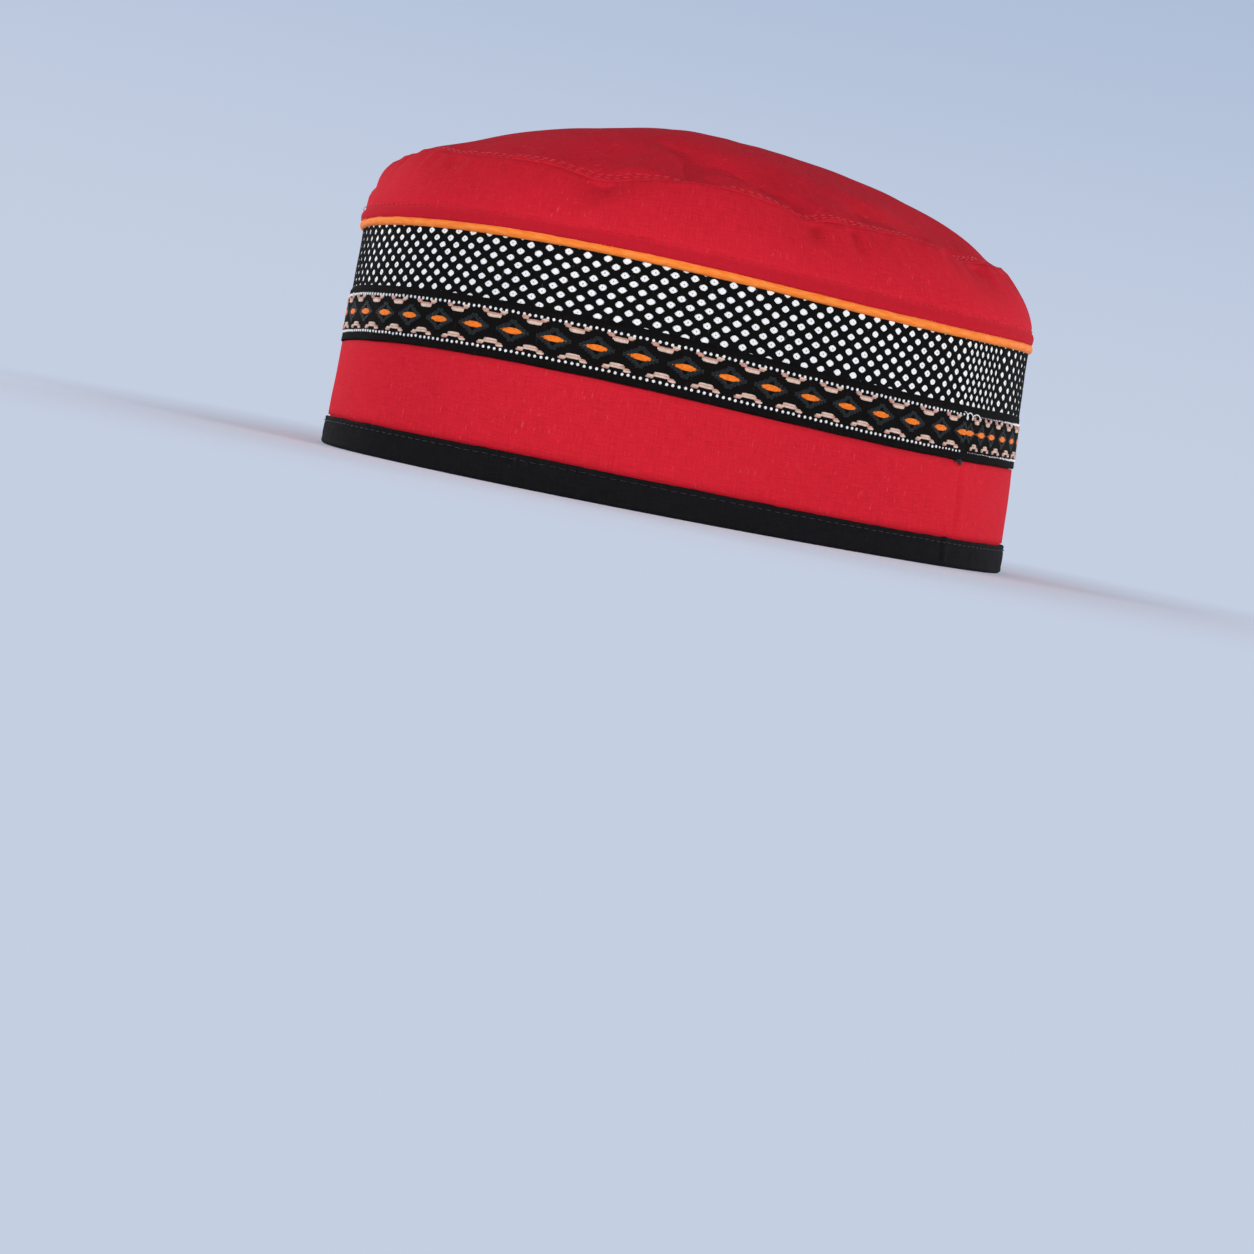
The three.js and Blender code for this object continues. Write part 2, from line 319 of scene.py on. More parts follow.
def make_piece(name, places, faces, finish, cloth_map=None, second_map=None):
    """A smooth mesh of that finish. The maps hold one (u, v) for each corner of each face."""
    mesh = bpy.data.meshes.new(name)
    mesh.from_pydata(places.reshape(-1, 3), [], faces)
    for map_name, corners in ((MAP_NAME, cloth_map), ("lattice", second_map)):
        if corners is not None:
            layer = mesh.uv_layers.new(name=map_name)
            layer.uv.foreach_set("vector", corners.astype(np.float32).ravel())
    mesh.polygons.foreach_set("use_smooth", [True] * len(mesh.polygons))
    mesh.materials.append(finish)
    mesh.update()
    piece = bpy.data.objects.new(name, mesh)
    bpy.context.scene.collection.objects.link(piece)
    return piece


def grid_faces(columns, rows, closed_along, closed_across):
    """Corners of the faces of a grid, and the same corners counted without going round."""
    i, j = np.meshgrid(
        np.arange(columns if closed_along else columns - 1),
        np.arange(rows if closed_across else rows - 1),
        indexing="ij",
    )
    ij = np.stack([i, j], axis=-1).reshape(-1, 1, 2)
    counted = ij + np.array([[0, 0], [1, 0], [1, 1], [0, 1]])
    faces = (counted[..., 0] % columns) * rows + counted[..., 1] % rows
    return faces, counted


print("faces in a ring of 4 by 3 points:", len(grid_faces(4, 3, True, True)[0]))


# %% Sweep cloth round the head
COLUMNS = 640


def surface_normals(places):
    """Outward directions of a grid that is closed both ways."""
    along = np.roll(places, -1, axis=0) - np.roll(places, 1, axis=0)
    across = np.roll(places, -1, axis=1) - np.roll(places, 1, axis=1)
    normals = np.cross(along, across)
    return normals / np.maximum(np.linalg.norm(normals, axis=-1, keepdims=True), 1e-12)


def lengths_along(section):
    steps = np.linalg.norm(np.roll(section, -1, axis=0) - section, axis=1)
    return np.concatenate([[0], np.cumsum(steps)])


def cloth_ring(name, section, finish, uneven=None, columns=COLUMNS):
    """Sweeps a closed section of (offset, height) rows round the head."""
    section = np.asarray(section, float)
    along = np.arange(columns) * ROUND / columns
    places = lay(along[:, None], section[None, :, 0], section[None, :, 1])
    if uneven is not None:
        pushed = uneven(along[:, None], section[None, :, 0], section[None, :, 1])
        places = places + surface_normals(places) * pushed[..., None] / 1000
    faces, counted = grid_faces(columns, len(section), True, True)
    across = lengths_along(section)
    corners = np.stack([counted[..., 0] * ROUND / columns, across[counted[..., 1]]], axis=-1)
    return make_piece(name, places, faces, finish, corners)


def ripples(seed, along, across, long_mm, wide_mm, waves=28):
    """Soft unevenness of about -1 to 1 that closes round the head, the same on every run."""
    chance = np.random.default_rng(seed)
    total = 0
    for _ in range(waves):
        turns = round(chance.normal(0, ROUND / long_mm))
        rise = chance.normal(0, 1 / wide_mm)
        start = chance.uniform(0, 2 * np.pi)
        total = total + np.cos(2 * np.pi * (turns * along / ROUND + rise * across) + start)
    return total / math.sqrt(2 * waves)


def ride_and_replace(piece, slot, *nodes):
    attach(piece, "root")
    if nodes:
        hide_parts(*nodes)
    print(piece.name, "has", len(piece.data.polygons), "faces")


print("columns of a swept cloth:", COLUMNS, "or one in", round(ROUND / COLUMNS, 2), "mm")

# %% [markdown]
# Threads
#
# Stitches, frayed ends and the raised yarns of the ribbon are all short pieces of thread. We
# could place thousands of curve objects, but joined meshes from arrays are much faster: we give
# the points of all the threads at once, and each becomes a thin tube with tapering ends.

# %% A helper for many threads
def tube_faces(rings, sides):
    """Corners of the faces of a tube of that many rings of points."""
    ring, side = np.meshgrid(np.arange(rings - 1), np.arange(sides), indexing="ij")
    here, onward = ring * sides, (ring + 1) * sides
    after = (side + 1) % sides
    return np.stack([here + side, here + after, onward + after, onward + side], -1).reshape(-1, 4)


def thread_mesh(name, lines, outward, radius_mm, finish, sides=6, flat=1.0, taper=0.35):
    """Lines is (threads, points, 3) in metres, and outward is each point's direction away
    from the cloth. Flat squashes the thread, and taper is how thick its ends stay."""
    count, points = lines.shape[:2]
    forward = np.gradient(lines, axis=1)
    forward /= np.maximum(np.linalg.norm(forward, axis=-1, keepdims=True), 1e-12)
    side = np.cross(forward, outward)
    side /= np.maximum(np.linalg.norm(side, axis=-1, keepdims=True), 1e-12)
    lift = np.cross(side, forward)
    share = np.linspace(-1, 1, points)
    radius = np.broadcast_to(np.asarray(radius_mm, float), (count,))[:, None] / 1000
    radius = radius * (taper + (1 - taper) * np.sqrt(np.maximum(1 - share**4, 0)))
    angle = 2 * np.pi * np.arange(sides) / sides
    ring = (
        side[:, :, None] * np.cos(angle)[:, None]
        + lift[:, :, None] * (flat * np.sin(angle))[:, None]
    )
    places = lines[:, :, None] + ring * radius[..., None, None]
    tube = tube_faces(points, sides)
    first_end = np.arange(sides)[::-1]
    last_end = (points - 1) * sides + np.arange(sides)
    faces = []
    for start in np.arange(count) * points * sides:
        faces.extend((tube + start).tolist())
        faces.append((first_end + start).tolist())
        faces.append((last_end + start).tolist())
    return make_piece(name, places, faces, finish)


print("faces of one thread of 6 points:", len(tube_faces(6, 6)) + 2)


# %% A row of stitches
def lay_threads(along, offset, height):
    """Lines of threads on the cap's side, and the level direction straight out of it."""
    lines = lay(along, offset, height)
    onward = lay(np.asarray(along) + 0.5, offset, height) - lines
    outward = np.cross(onward, np.array([0, 0, 1.0]))
    return lines, outward / np.linalg.norm(outward, axis=-1, keepdims=True)


def stitch_row(name, height, proud, finish, length, pitch, thread, seed):
    """A row of machine stitches round the side. Each one rises from the cloth and dips back."""
    chance = np.random.default_rng(seed)
    count = int(ROUND / pitch)
    share = np.linspace(-0.5, 0.5, 6)
    middle = (np.arange(count) * ROUND / count)[:, None]
    along = middle + length * (share + chance.normal(0, 0.02, (count, 1)))
    tilt = chance.normal(0, 0.05, (count, 1))
    heights = height + tilt * share * length + chance.normal(0, 0.04, (count, 1))
    arch = 0.12 * (1 - (2 * share) ** 2) - 0.08
    offset = wall_face(heights) + proud + arch
    return thread_mesh(name, *lay_threads(along, offset, heights), thread, finish)


print("stitches of 2.6 mm in one row:", int(ROUND / 2.6))

# %% [markdown]
# Shader maths as Python
#
# A material in Blender is a graph of nodes. Adding each node by hand hides the idea, so we wrap
# a node's output in a small class. Then ordinary signs such as + and * add the Math nodes, and
# one method adds any other node. A number that is the same everywhere is set on the shader.


# %% A small class for shader maths
class Wire:
    """The output of a node. Python's signs on it add Math nodes."""

    def __init__(self, finish, socket):
        self.finish = finish
        self.socket = socket

    def maths(self, operation, *values):
        return self.finish.node("ShaderNodeMath", {"operation": operation}, values)

    def __add__(self, other):
        return self.maths("ADD", self, other)

    def __sub__(self, other):
        return self.maths("SUBTRACT", self, other)

    def __rsub__(self, other):
        return self.maths("SUBTRACT", other, self)

    def __mul__(self, other):
        return self.maths("MULTIPLY", self, other)

    def __pow__(self, power):
        return self.maths("POWER", self, power)

    __radd__ = __add__
    __rmul__ = __mul__

    def sine(self):
        return self.maths("SINE", self)

    def part(self):
        return self.maths("FRACT", self)

    def between(self, low, high):
        """0 below low, 1 above high, and a smooth step from one to the other."""
        return self.finish.node(
            "ShaderNodeMapRange",
            {"interpolation_type": "SMOOTHSTEP"},
            {"Value": self, "From Min": low, "From Max": high},
        )


print("signs that a wire knows:", [name for name in vars(Wire) if name.startswith("__r")])


# %% A class for finishes
class Finish:
    """A material in the making. Numbers given to it are set on the shader's own sockets."""

    def __init__(self, name, **constants):
        self.material = bpy.data.materials.new(name)
        self.material.use_nodes = True
        self.tree = self.material.node_tree
        self.shader = self.tree.nodes["Principled BSDF"]
        for key, value in constants.items():
            socket = key.replace("_", " ").title().replace("Ior", "IOR")
            self.shader.inputs[socket].default_value = value

    def node(self, kind, settings=None, sockets=(), output=0):
        made = self.tree.nodes.new(kind)
        for key, value in (settings or {}).items():
            setattr(made, key, value)
        pairs = sockets.items() if isinstance(sockets, dict) else enumerate(sockets)
        for key, value in pairs:
            if isinstance(value, Wire):
                self.tree.links.new(value.socket, made.inputs[key])
            else:
                made.inputs[key].default_value = value
        return Wire(self, made.outputs[output])

    def across_cloth(self, map_name=MAP_NAME):
        """Millimetres along the cloth and across it."""
        flat = self.node("ShaderNodeUVMap", {"uv_map": map_name})
        return [self.node("ShaderNodeSeparateXYZ", {}, [flat], axis) for axis in (0, 1)]

    def noise(self, x, y, z=0.0, detail=2.0):
        place = self.node("ShaderNodeCombineXYZ", {}, [x, y, z])
        return self.node(
            "ShaderNodeTexNoise", {}, {"Vector": place, "Scale": 1.0, "Detail": detail}
        )

    def mix(self, share, first, second):
        """Two colours, mixed by share."""
        return self.node(
            "ShaderNodeMix", {"data_type": "RGBA"}, {0: share, 6: first, 7: second}, 2
        )

    def wear(self, socket, value):
        self.tree.links.new(value.socket, self.shader.inputs[socket])

    def raise_by(self, height, depth_mm):
        sockets = {"Height": height, "Distance": depth_mm / 1000}
        self.wear("Normal", self.node("ShaderNodeBump", {}, sockets))


print("a finish can", [name for name in vars(Finish) if not name.startswith("_")])


# %% Colours, and a plain finish for threads
def paint(red, green, blue):
    """A screen colour of 0 to 255, as the linear colour that Blender works in."""
    screen = np.array([red, green, blue]) / 255
    linear = np.where(screen <= 0.04045, screen / 12.92, ((screen + 0.055) / 1.055) ** 2.4)
    return (*linear.tolist(), 1.0)


def thread_finish(name, colour, roughness=0.55):
    constants = {"base_color": colour, "roughness": roughness, "specular_ior_level": 0.4}
    return Finish(name, **constants).material


print("a mid grey is", [round(value, 3) for value in paint(128, 128, 128)])

# %% [markdown]
# Red cotton
#
# The cap's main cloth is a fine plain weave. Close up it is a checker of threads that go over
# and under. From a step back we see only faint lines, where some threads are thicker, and small
# pale flecks. So there are three layers: the checker as bump, long thin noise both ways for the
# uneven threads, and rare short streaks that are lighter. Up to a given height on its map, the
# red can be painted darker: painted shade, as in the crease along a seam.


# %% The red cotton finish
def woven_cloth(finish, thread_mm, main, deep, pale, fleck=0.34, depth_mm=0.06, seam_shade_mm=0):
    u, v = finish.across_cloth()
    warp = (u * (2 * math.pi / thread_mm)).sine()
    weft = (v * (2 * math.pi / thread_mm)).sine()
    upright = finish.noise(u * 2.6, v * 0.2, 3.0)
    level = finish.noise(u * 0.2, v * 2.6, 8.0)
    uneven = (upright + level) * 0.5
    clouds = finish.noise(u * 0.035, v * 0.05, 5.0)
    colour = finish.mix(uneven.between(0.36, 0.62), deep, main)
    streaks = finish.noise(u * 1.5, v * 0.32, 12.0, 1.0).between(0.66, 0.8)
    specks = finish.noise(u * 1.6, v * 1.9, 21.0, 1.0).between(0.7, 0.8)
    slubs = finish.noise(u * 1.2, v * 0.3, 17.0, 1.0).between(0.64, 0.78)
    colour = finish.mix(streaks * fleck, colour, pale)
    colour = finish.mix(specks * fleck, colour, pale)
    colour = finish.mix(slubs * fleck, colour, deep)
    colour = finish.mix(clouds.between(0.35, 0.7) * 0.3, colour, main)
    # Painted shade: below the given height on the map the red is mixed darker, as a crease along a
    # seam would shade it.
    if seam_shade_mm:
        height_profile = 1 - v.between(seam_shade_mm - 1.0, seam_shade_mm + 0.6)
        colour = finish.mix(height_profile * 0.6, colour, paint(178, 24, 38))
    finish.wear("Base Color", colour)
    finish.wear("Roughness", 0.74 + uneven * 0.22)
    finish.raise_by(warp * weft * 0.35 + uneven * 1.4, depth_mm)
    return finish.material


def red_weave(name, seam_shade_mm=0):
    return woven_cloth(
        Finish(name, specular_ior_level=0.06),
        thread_mm=0.62,
        main=paint(211, 34, 49),
        deep=paint(196, 28, 42),
        pale=paint(236, 104, 106),
        seam_shade_mm=seam_shade_mm,
    )


red_cotton = red_weave("red_cotton")
print("finish:", red_cotton.name)

# %% [markdown]
# The red side
#
# The side is two layers of cotton round a stiffener, about 2.3 mm in all. It runs up behind the
# two bands, where it lies deeper so that they stay flush. It is one closed strip, so it also
# gives the lining that shows inside. A used cap's side is never flat: long soft waves run
# through it, and it is pulled in where a seam joins its two ends.

# %% Make the red side
SIDE_SEAM = 31
TRIM_FACE = 0.3
BAND_THICK = 0.9
UNDER_TRIM = TRIM_FACE - BAND_THICK - GAP
UNDER_BAND = UNDER_TRIM - BAND_THICK - GAP
LINING = 1.2


def seam_dip(along, where, width=0.7):
    """A narrow groove at a seam that runs up the side."""
    distance = np.abs((along - where + ROUND / 2) % ROUND - ROUND / 2)
    return bell(distance, width)


def side_waves(along, offset, height):
    outside = offset > wall_face(height) - 0.6
    waves = 0.22 * ripples(11, along, height, 60, 45) + 0.07 * ripples(12, along, height, 14, 12)
    free = np.clip((height - 7) / 6, 0, 1) * np.clip((TRIM_BOTTOM + 2 - height) / 6, 0, 1)
    dip = -0.45 * seam_dip(along, SIDE_SEAM) + 0.25 * seam_dip(along, SIDE_SEAM + 2.2, 1.4)
    return outside * free * (waves + dip)


def side_section():
    foot = 1.6
    above_tape = BINDING_TOP + GAP
    under_trim = TRIM_BOTTOM - GAP
    under_band = TRIM_TOP - 7.5
    head = SHOULDER_BOTTOM + 2
    points = [
        (wall_face(above_tape) - 0.6, above_tape),
        (wall_face(above_tape) - 0.02, above_tape + 0.3),
        (wall_face(under_trim), under_trim),
        (wall_face(under_trim) + UNDER_TRIM, under_trim + 0.1),
        (wall_face(under_band) + UNDER_TRIM, under_band),
        (wall_face(under_band) + UNDER_BAND, under_band + 0.1),
        (wall_face(head) + UNDER_BAND, head),
        (wall_face(head) + UNDER_BAND - LINING, head),
        (wall_face(under_band) + UNDER_BAND - LINING, under_band),
        (wall_face(under_trim) - WALL, under_trim),
        (-WALL, foot),
        (-0.6, foot),
    ]
    return fine(points, 2.0)


side_cloth = cloth_ring("side_cloth", side_section(), red_cotton, side_waves)
ride_and_replace(side_cloth, "red_cotton", "side_wall")

# %% [markdown]
# The black binding
#
# The raw lower edge is bound with black cotton tape, folded over it like a long U. Its lower
# corners are round where the fold is soft, and its top edge is uneven, because it was turned
# under by hand and sewn close to the edge. The cap stands on the fold.

# %% The black tape and its finish
black_tape = woven_cloth(
    Finish("black_tape", specular_ior_level=0.08),
    thread_mm=0.7,
    main=paint(22, 21, 23),
    deep=paint(14, 13, 15),
    pale=paint(58, 56, 58),
    fleck=0.3,
    depth_mm=0.08,
)
TAPE_CLOTH = 1.0
TAPE_CORNER = 1.3
TAPE_JOIN = 25.8
TAPE_STITCHES = 6.7


def tape_section():
    outer, inner = TAPE_PROUD, -WALL - GAP - TAPE_CLOTH
    turns = np.radians(np.linspace(0, 90, 6))
    outer_corner = [
        (outer - TAPE_CORNER + TAPE_CORNER * math.sin(t), TAPE_CORNER - TAPE_CORNER * math.cos(t))
        for t in turns
    ]
    inner_corner = [
        (inner + TAPE_CORNER - TAPE_CORNER * math.cos(t), TAPE_CORNER - TAPE_CORNER * math.sin(t))
        for t in turns
    ]
    lean = wall_face(BINDING_TOP)
    edge = [
        (outer + lean, BINDING_TOP - 0.5),
        (outer + lean - 0.12, BINDING_TOP - 0.15),
        (outer + lean - 0.4, BINDING_TOP + 0.05),
        (outer - TAPE_CLOTH + lean, BINDING_TOP),
    ]
    lining = [
        (outer - TAPE_CLOTH, TAPE_CORNER),
        (inner + TAPE_CLOTH, TAPE_CORNER),
        (inner + TAPE_CLOTH + lean, BINDING_TOP),
        (inner + lean, BINDING_TOP),
    ]
    return fine([*outer_corner, *edge, *lining, *inner_corner], 0.8)


def tape_waves(along, offset, height):
    outside = np.clip((offset + 0.6) / 0.4, 0, 1)
    standing = np.clip((height - 0.6) / 1.5, 0, 1)
    lumps = 0.1 * ripples(21, along, height, 5, 9) + 0.12 * ripples(22, along, height, 40, 30)
    sewn = -0.16 * bell(height - TAPE_STITCHES, 0.45)
    belly = 0.14 * np.sin(np.clip(height / TAPE_STITCHES, 0, 1) * np.pi)
    belly = belly - 0.5 * (1 - height / BINDING_TOP)
    join = 0.35 * seam_dip(along, TAPE_JOIN + 1, 1.2) - 0.3 * seam_dip(along, TAPE_JOIN - 0.6, 0.5)
    return outside * standing * (lumps + sewn + belly + join)


rim_tape = cloth_ring("rim_tape", tape_section(), black_tape, tape_waves)
ride_and_replace(rim_tape, "black_binding", "rim_binding")

# %% Sew the tape
black_thread = thread_finish("black_thread", paint(30, 29, 31))
tape_stitches = stitch_row(
    "tape_stitches",
    TAPE_STITCHES,
    TAPE_PROUD,
    black_thread,
    length=1.9,
    pitch=2.6,
    thread=0.13,
    seed=23,
)
ride_and_replace(tape_stitches, "black_binding")

# %% [markdown]
# The net over white cloth
#
# The wide band is a black net over white cloth, and we see the white through its holes. A
# picture of dots would stay flat from the side, so we cut real holes. They lie like the spots on
# a playing card's five: each row is half a step beside the last. One diamond of net with a
# round hole fills that pattern without a gap. We make all the diamonds flat, trim them to
# the band's edges, and only then lay them on the head. One table says how many millimetres along
# the side some of the columns stand, and the others are spread evenly between them. The net is
# gathered near the cap's left, where its ends meet, so there they stand closer. Another table
# says how far the rows climb, because the net was cut askew. A narrow hem ends it at the trim.

# %% Where the columns of holes are
GATHER_START = 27
NET_COLUMNS = 117
GATHERED_COLUMNS = 6
COLUMN_MARKS = {
    "column": [0, GATHERED_COLUMNS, 10, 79.5, 89.5, 105, 112, 115, NET_COLUMNS],
    "along": [GATHER_START, 45, 70, 431.6, 482.2, 562.4, 599.6, 615.5, GATHER_START + ROUND],
}
ROW_STEP = 1.96
FIRST_ROW, LAST_ROW = -4, 12
ROW_ZERO = 44.9
DRIFT = {
    "along": [17.9, 60, 431, 477, 490, 508, 524, 552, 561, 598],
    "rise": [4.35, 4, -4.3, -2.04, -1.55, -1.45, -0.25, 1.4, 2.2, 3.55],
}
HOLE_WIDTH = 0.48
HOLE_HEIGHT = 0.94
HOLE_POWER = 1.45


def along_at_column(column):
    """Columns may be halves, and go on round the head."""
    whole_turns, rest = np.divmod(np.asarray(column, float), NET_COLUMNS)
    return whole_turns * ROUND + np.interp(rest, COLUMN_MARKS["column"], COLUMN_MARKS["along"])


def net_drift(along):
    """How far a row has climbed at that place."""
    return np.interp(along, DRIFT["along"], DRIFT["rise"], period=ROUND)


print("columns of holes:", NET_COLUMNS)

# %% Cut the net
NET_FACE = 0.05
NET_THICK = 0.32
HOLE_POINTS = 12


def flat_net():
    """All diamonds as places of (column, height, depth), before they are laid on the head."""
    chance = np.random.default_rng(31)
    angle = 2 * np.pi * np.arange(HOLE_POINTS) / HOLE_POINTS
    across, upward = np.cos(angle), np.sin(angle)
    corner = np.abs(across) + np.abs(upward)
    edge = np.stack([0.5 * across / corner, upward / corner], axis=-1)
    round_off = np.abs(across) ** HOLE_POWER + np.abs(upward) ** HOLE_POWER
    round_off = round_off ** (-1 / HOLE_POWER)
    unit = np.stack([0.5 * HOLE_WIDTH * across, 0.5 * HOLE_HEIGHT * upward], axis=-1)
    gathered = np.array([1.4, 1])
    cells = []
    for row in range(FIRST_ROW, LAST_ROW + 1):
        for column in range(NET_COLUMNS):
            middle = np.array([column + 0.5 * (row % 2), row])
            size = round_off * chance.normal(1, 0.05, HOLE_POINTS)
            hole = unit * size[:, None] + chance.normal(0, 0.012, 2)
            if column < GATHERED_COLUMNS:
                hole = hole * gathered
            cells.append((middle + edge, middle + hole))
    return np.array(cells)


NetRing = namedtuple("NetRing", "towards_hole depth")
NET_RINGS = [NetRing(0, -0.07), NetRing(0.75, 0), NetRing(1, -0.1), NetRing(1, -NET_THICK)]


def net_ring(cells, ring):
    """One ring of points in every diamond, between its edge and its hole."""
    flat = (1 - ring.towards_hole) * cells[:, 0] + ring.towards_hole * cells[:, 1]
    return np.concatenate([flat, np.full((*flat.shape[:2], 1), ring.depth)], axis=-1)


cells = flat_net()
net_points = np.stack([net_ring(cells, ring) for ring in NET_RINGS], axis=1)
first_points = np.arange(len(cells))[:, None, None] * len(NET_RINGS) * HOLE_POINTS
net_faces = (tube_faces(len(NET_RINGS), HOLE_POINTS) + first_points).reshape(-1, 4)
print("diamonds of net:", len(cells), "faces:", len(net_faces))

# %% Trim the net and lay it on the head
black_net = woven_cloth(
    Finish("black_net", specular_ior_level=0.06),
    thread_mm=0.8,
    main=paint(16, 15, 15),
    deep=paint(8, 8, 8),
    pale=paint(66, 65, 66),
    fleck=0.45,
    depth_mm=0.12,
)

flat_places = net_points.reshape(-1, 3)
flat_places[:, 0] = along_at_column(flat_places[:, 0])
flat_places[:, 1] = ROW_ZERO + ROW_STEP * flat_places[:, 1] + net_drift(flat_places[:, 0])
flat_mesh = bpy.data.meshes.new("flat_net")
flat_mesh.from_pydata(flat_places, [], net_faces[:, ::-1])
work = bmesh.new()
work.from_mesh(flat_mesh)
bmesh.ops.remove_doubles(work, verts=work.verts, dist=1e-4)
for limit, direction in ((TRIM_TOP - 0.4, -1), (PIPING_BOTTOM + 0.1, 1)):
    bmesh.ops.bisect_plane(
        work,
        geom=[*work.verts, *work.edges, *work.faces],
        plane_co=(0, limit, 0),
        plane_no=(0, direction, 0),
        clear_outer=True,
    )
work.to_mesh(flat_mesh)
work.free()
flat_places = np.empty(3 * len(flat_mesh.vertices), np.float32)
flat_mesh.vertices.foreach_get("co", flat_places)
flat_places = flat_places.reshape(-1, 3).astype(float)
net_sides = [tuple(face.vertices) for face in flat_mesh.polygons]
net_corners = np.concatenate([flat_places[list(face), :2] for face in net_sides])
bpy.data.meshes.remove(flat_mesh)


def net_bulge(along, height):
    return 0.12 * ripples(33, along, height, 45, 20)


net_along, net_height, net_depth = flat_places.T
net_offset = wall_face(net_height) + NET_FACE + net_depth + net_bulge(net_along, net_height)
net_places = lay(net_along, net_offset, net_height)
dotted_net = make_piece("dotted_net", net_places, net_sides, black_net, net_corners)
ride_and_replace(dotted_net, "dotted_net", "dotted_band")

# %% The net's hem
HEM_TOP = TRIM_TOP + 0.55
hem_section = [
    (wall_face(TRIM_TOP) - 0.2, TRIM_TOP - 0.4),
    (wall_face(TRIM_TOP) + 0.16, TRIM_TOP - 0.4),
    (wall_face(HEM_TOP) + 0.16, HEM_TOP - 0.15),
    (wall_face(HEM_TOP) + 0.04, HEM_TOP),
    (wall_face(HEM_TOP) - 0.2, HEM_TOP),
]


def hem_waves(along, offset, height):
    return net_bulge(along, height)


net_hem = cloth_ring("net_hem", fine(hem_section, 0.3), black_net, hem_waves)
ride_and_replace(net_hem, "dotted_net")

# %% [markdown]
# The white cloth swells a little into each hole, and the hole's middle is a touch grey where
# a knot pulls it back. We know where every hole is, so a second map counts columns and rows. Its
# fractions tell the material, and the mesh, how far each point is from the nearest hole.


# %% The white cloth behind the net
def white_cloth():
    finish = Finish("white_cloth", roughness=0.85, sheen_weight=0.1, specular_ior_level=0.25)
    column, row = finish.across_cloth("lattice")
    first = (column + row * 0.5 + 0.5).part() - 0.5
    second = (column - row * 0.5 + 0.5).part() - 0.5
    sideways = (first + second) * 0.5
    upward = first - second
    from_knot = (sideways * sideways * 27 + upward * upward * 3.4) ** 0.5
    u, v = finish.across_cloth()
    grain = finish.noise(u * 2.4, v * 2.4, 2.0)
    here_and_there = finish.noise(u * 0.05, v * 0.09, 9.0).between(0.42, 0.56)
    knot = (1 - (from_knot + grain * 0.3).between(0.2, 0.46)) * here_and_there
    colour = finish.mix(grain.between(0.35, 0.65), paint(242, 240, 236), paint(255, 253, 249))
    finish.wear("Base Color", finish.mix(knot * 0.85, colour, paint(84, 82, 82)))
    finish.raise_by(grain - knot, 0.1)
    return finish.material


def white_backing():
    columns, rows = 936, 56
    column = np.arange(columns + 1) * NET_COLUMNS / columns
    along = along_at_column(column)
    heights = np.linspace(TRIM_TOP - 0.6, PIPING_BOTTOM + 0.2, rows)
    row = (heights[None, :] - ROW_ZERO - net_drift(along)[:, None]) / ROW_STEP
    first = (column[:, None] + row / 2 + 0.5) % 1 - 0.5
    second = (column[:, None] - row / 2 + 0.5) % 1 - 0.5
    puff = bell(np.hypot((first + second) * 1.4, (first - second) * 1.1), 0.42)
    offset = wall_face(heights)[None, :] - 0.33 + 0.34 * puff
    bulge = net_bulge(along[:, None], heights[None, :])
    front = lay(along[:, None], offset + bulge, heights[None, :])[:-1]
    ends = heights[[-1, 0]]
    behind = lay(along[:, None], wall_face(ends)[None, :] - 1.7, ends[None, :])[:-1]
    places = np.concatenate([front, behind], axis=1)
    faces, counted = grid_faces(columns, rows + 2, True, True)
    across = np.concatenate([heights, ends, heights[:1]])
    height_rows = np.concatenate([row, row[:, [-1, 0]], row[:, :1]], axis=1)
    corner_along, corner_row = counted[..., 0], counted[..., 1]
    flat = np.stack([along[corner_along], across[corner_row]], axis=-1)
    lattice = np.stack([column[corner_along], height_rows[corner_along, corner_row]], axis=-1)
    return make_piece("net_backing", places, faces, white_cloth(), flat, lattice)


net_backing = white_backing()
ride_and_replace(net_backing, "dotted_net")

# %% [markdown]
# The woven trim
#
# The narrow ribbon is woven, and its pattern is made of weft yarns that float on the front. Seen
# close, every mark is a short raised bar of one colour, called a float. That is how we make it.
# A chart holds one half of the leafy frame, and each run of one letter in it becomes a float.
# Short tables hold the floats of the lozenge inside it and of the stepped arcs between two
# frames. This is a common kind of trim pattern, with a row of small dots along each side. Near
# the join the repeats are squeezed, because the ribbon's ends were eased together there.

# %% The pattern of one repeat
LEAF_CHART = [
    "bg..........",
    "gbb.........",
    ".ggbb.......",
    "..ggbbb.....",
    "....gggbb...",
    "......ggbbg.",
    "......ggbbg.",
    "....gggbb...",
    "..ggbbb.....",
    ".ggbb.......",
    "gbb.........",
    "bg..........",
]
Yarn = namedtuple("Yarn", "name colour radius_mm sides flat taper")
YARNS = [
    Yarn("orange", paint(251, 126, 28), 0.26, 6, 0.8, 0.2),
    Yarn("rose", paint(206, 154, 138), 0.37, 6, 0.8, 0.65),
    Yarn("cream", paint(226, 198, 177), 0.37, 6, 0.8, 0.65),
    Yarn("green", paint(34, 42, 38), 0.29, 4, 0.45, 0.65),
    Yarn("slate", paint(26, 34, 42), 0.29, 4, 0.45, 0.65),
]
LEAF_YARNS = {"g": "green", "b": "slate"}
LEAF_ROW = 0.46
LEAF_TOP = 2.08
LEAF_SHARE = 0.88
LOZENGE_ROWS = {
    "below": [4.3, 4.57, 4.84, 5.11, 5.38],
    "length": [3.9, 6.7, 7.6, 6.7, 3.9],
}
Bar = namedtuple("Bar", "yarn across below length")
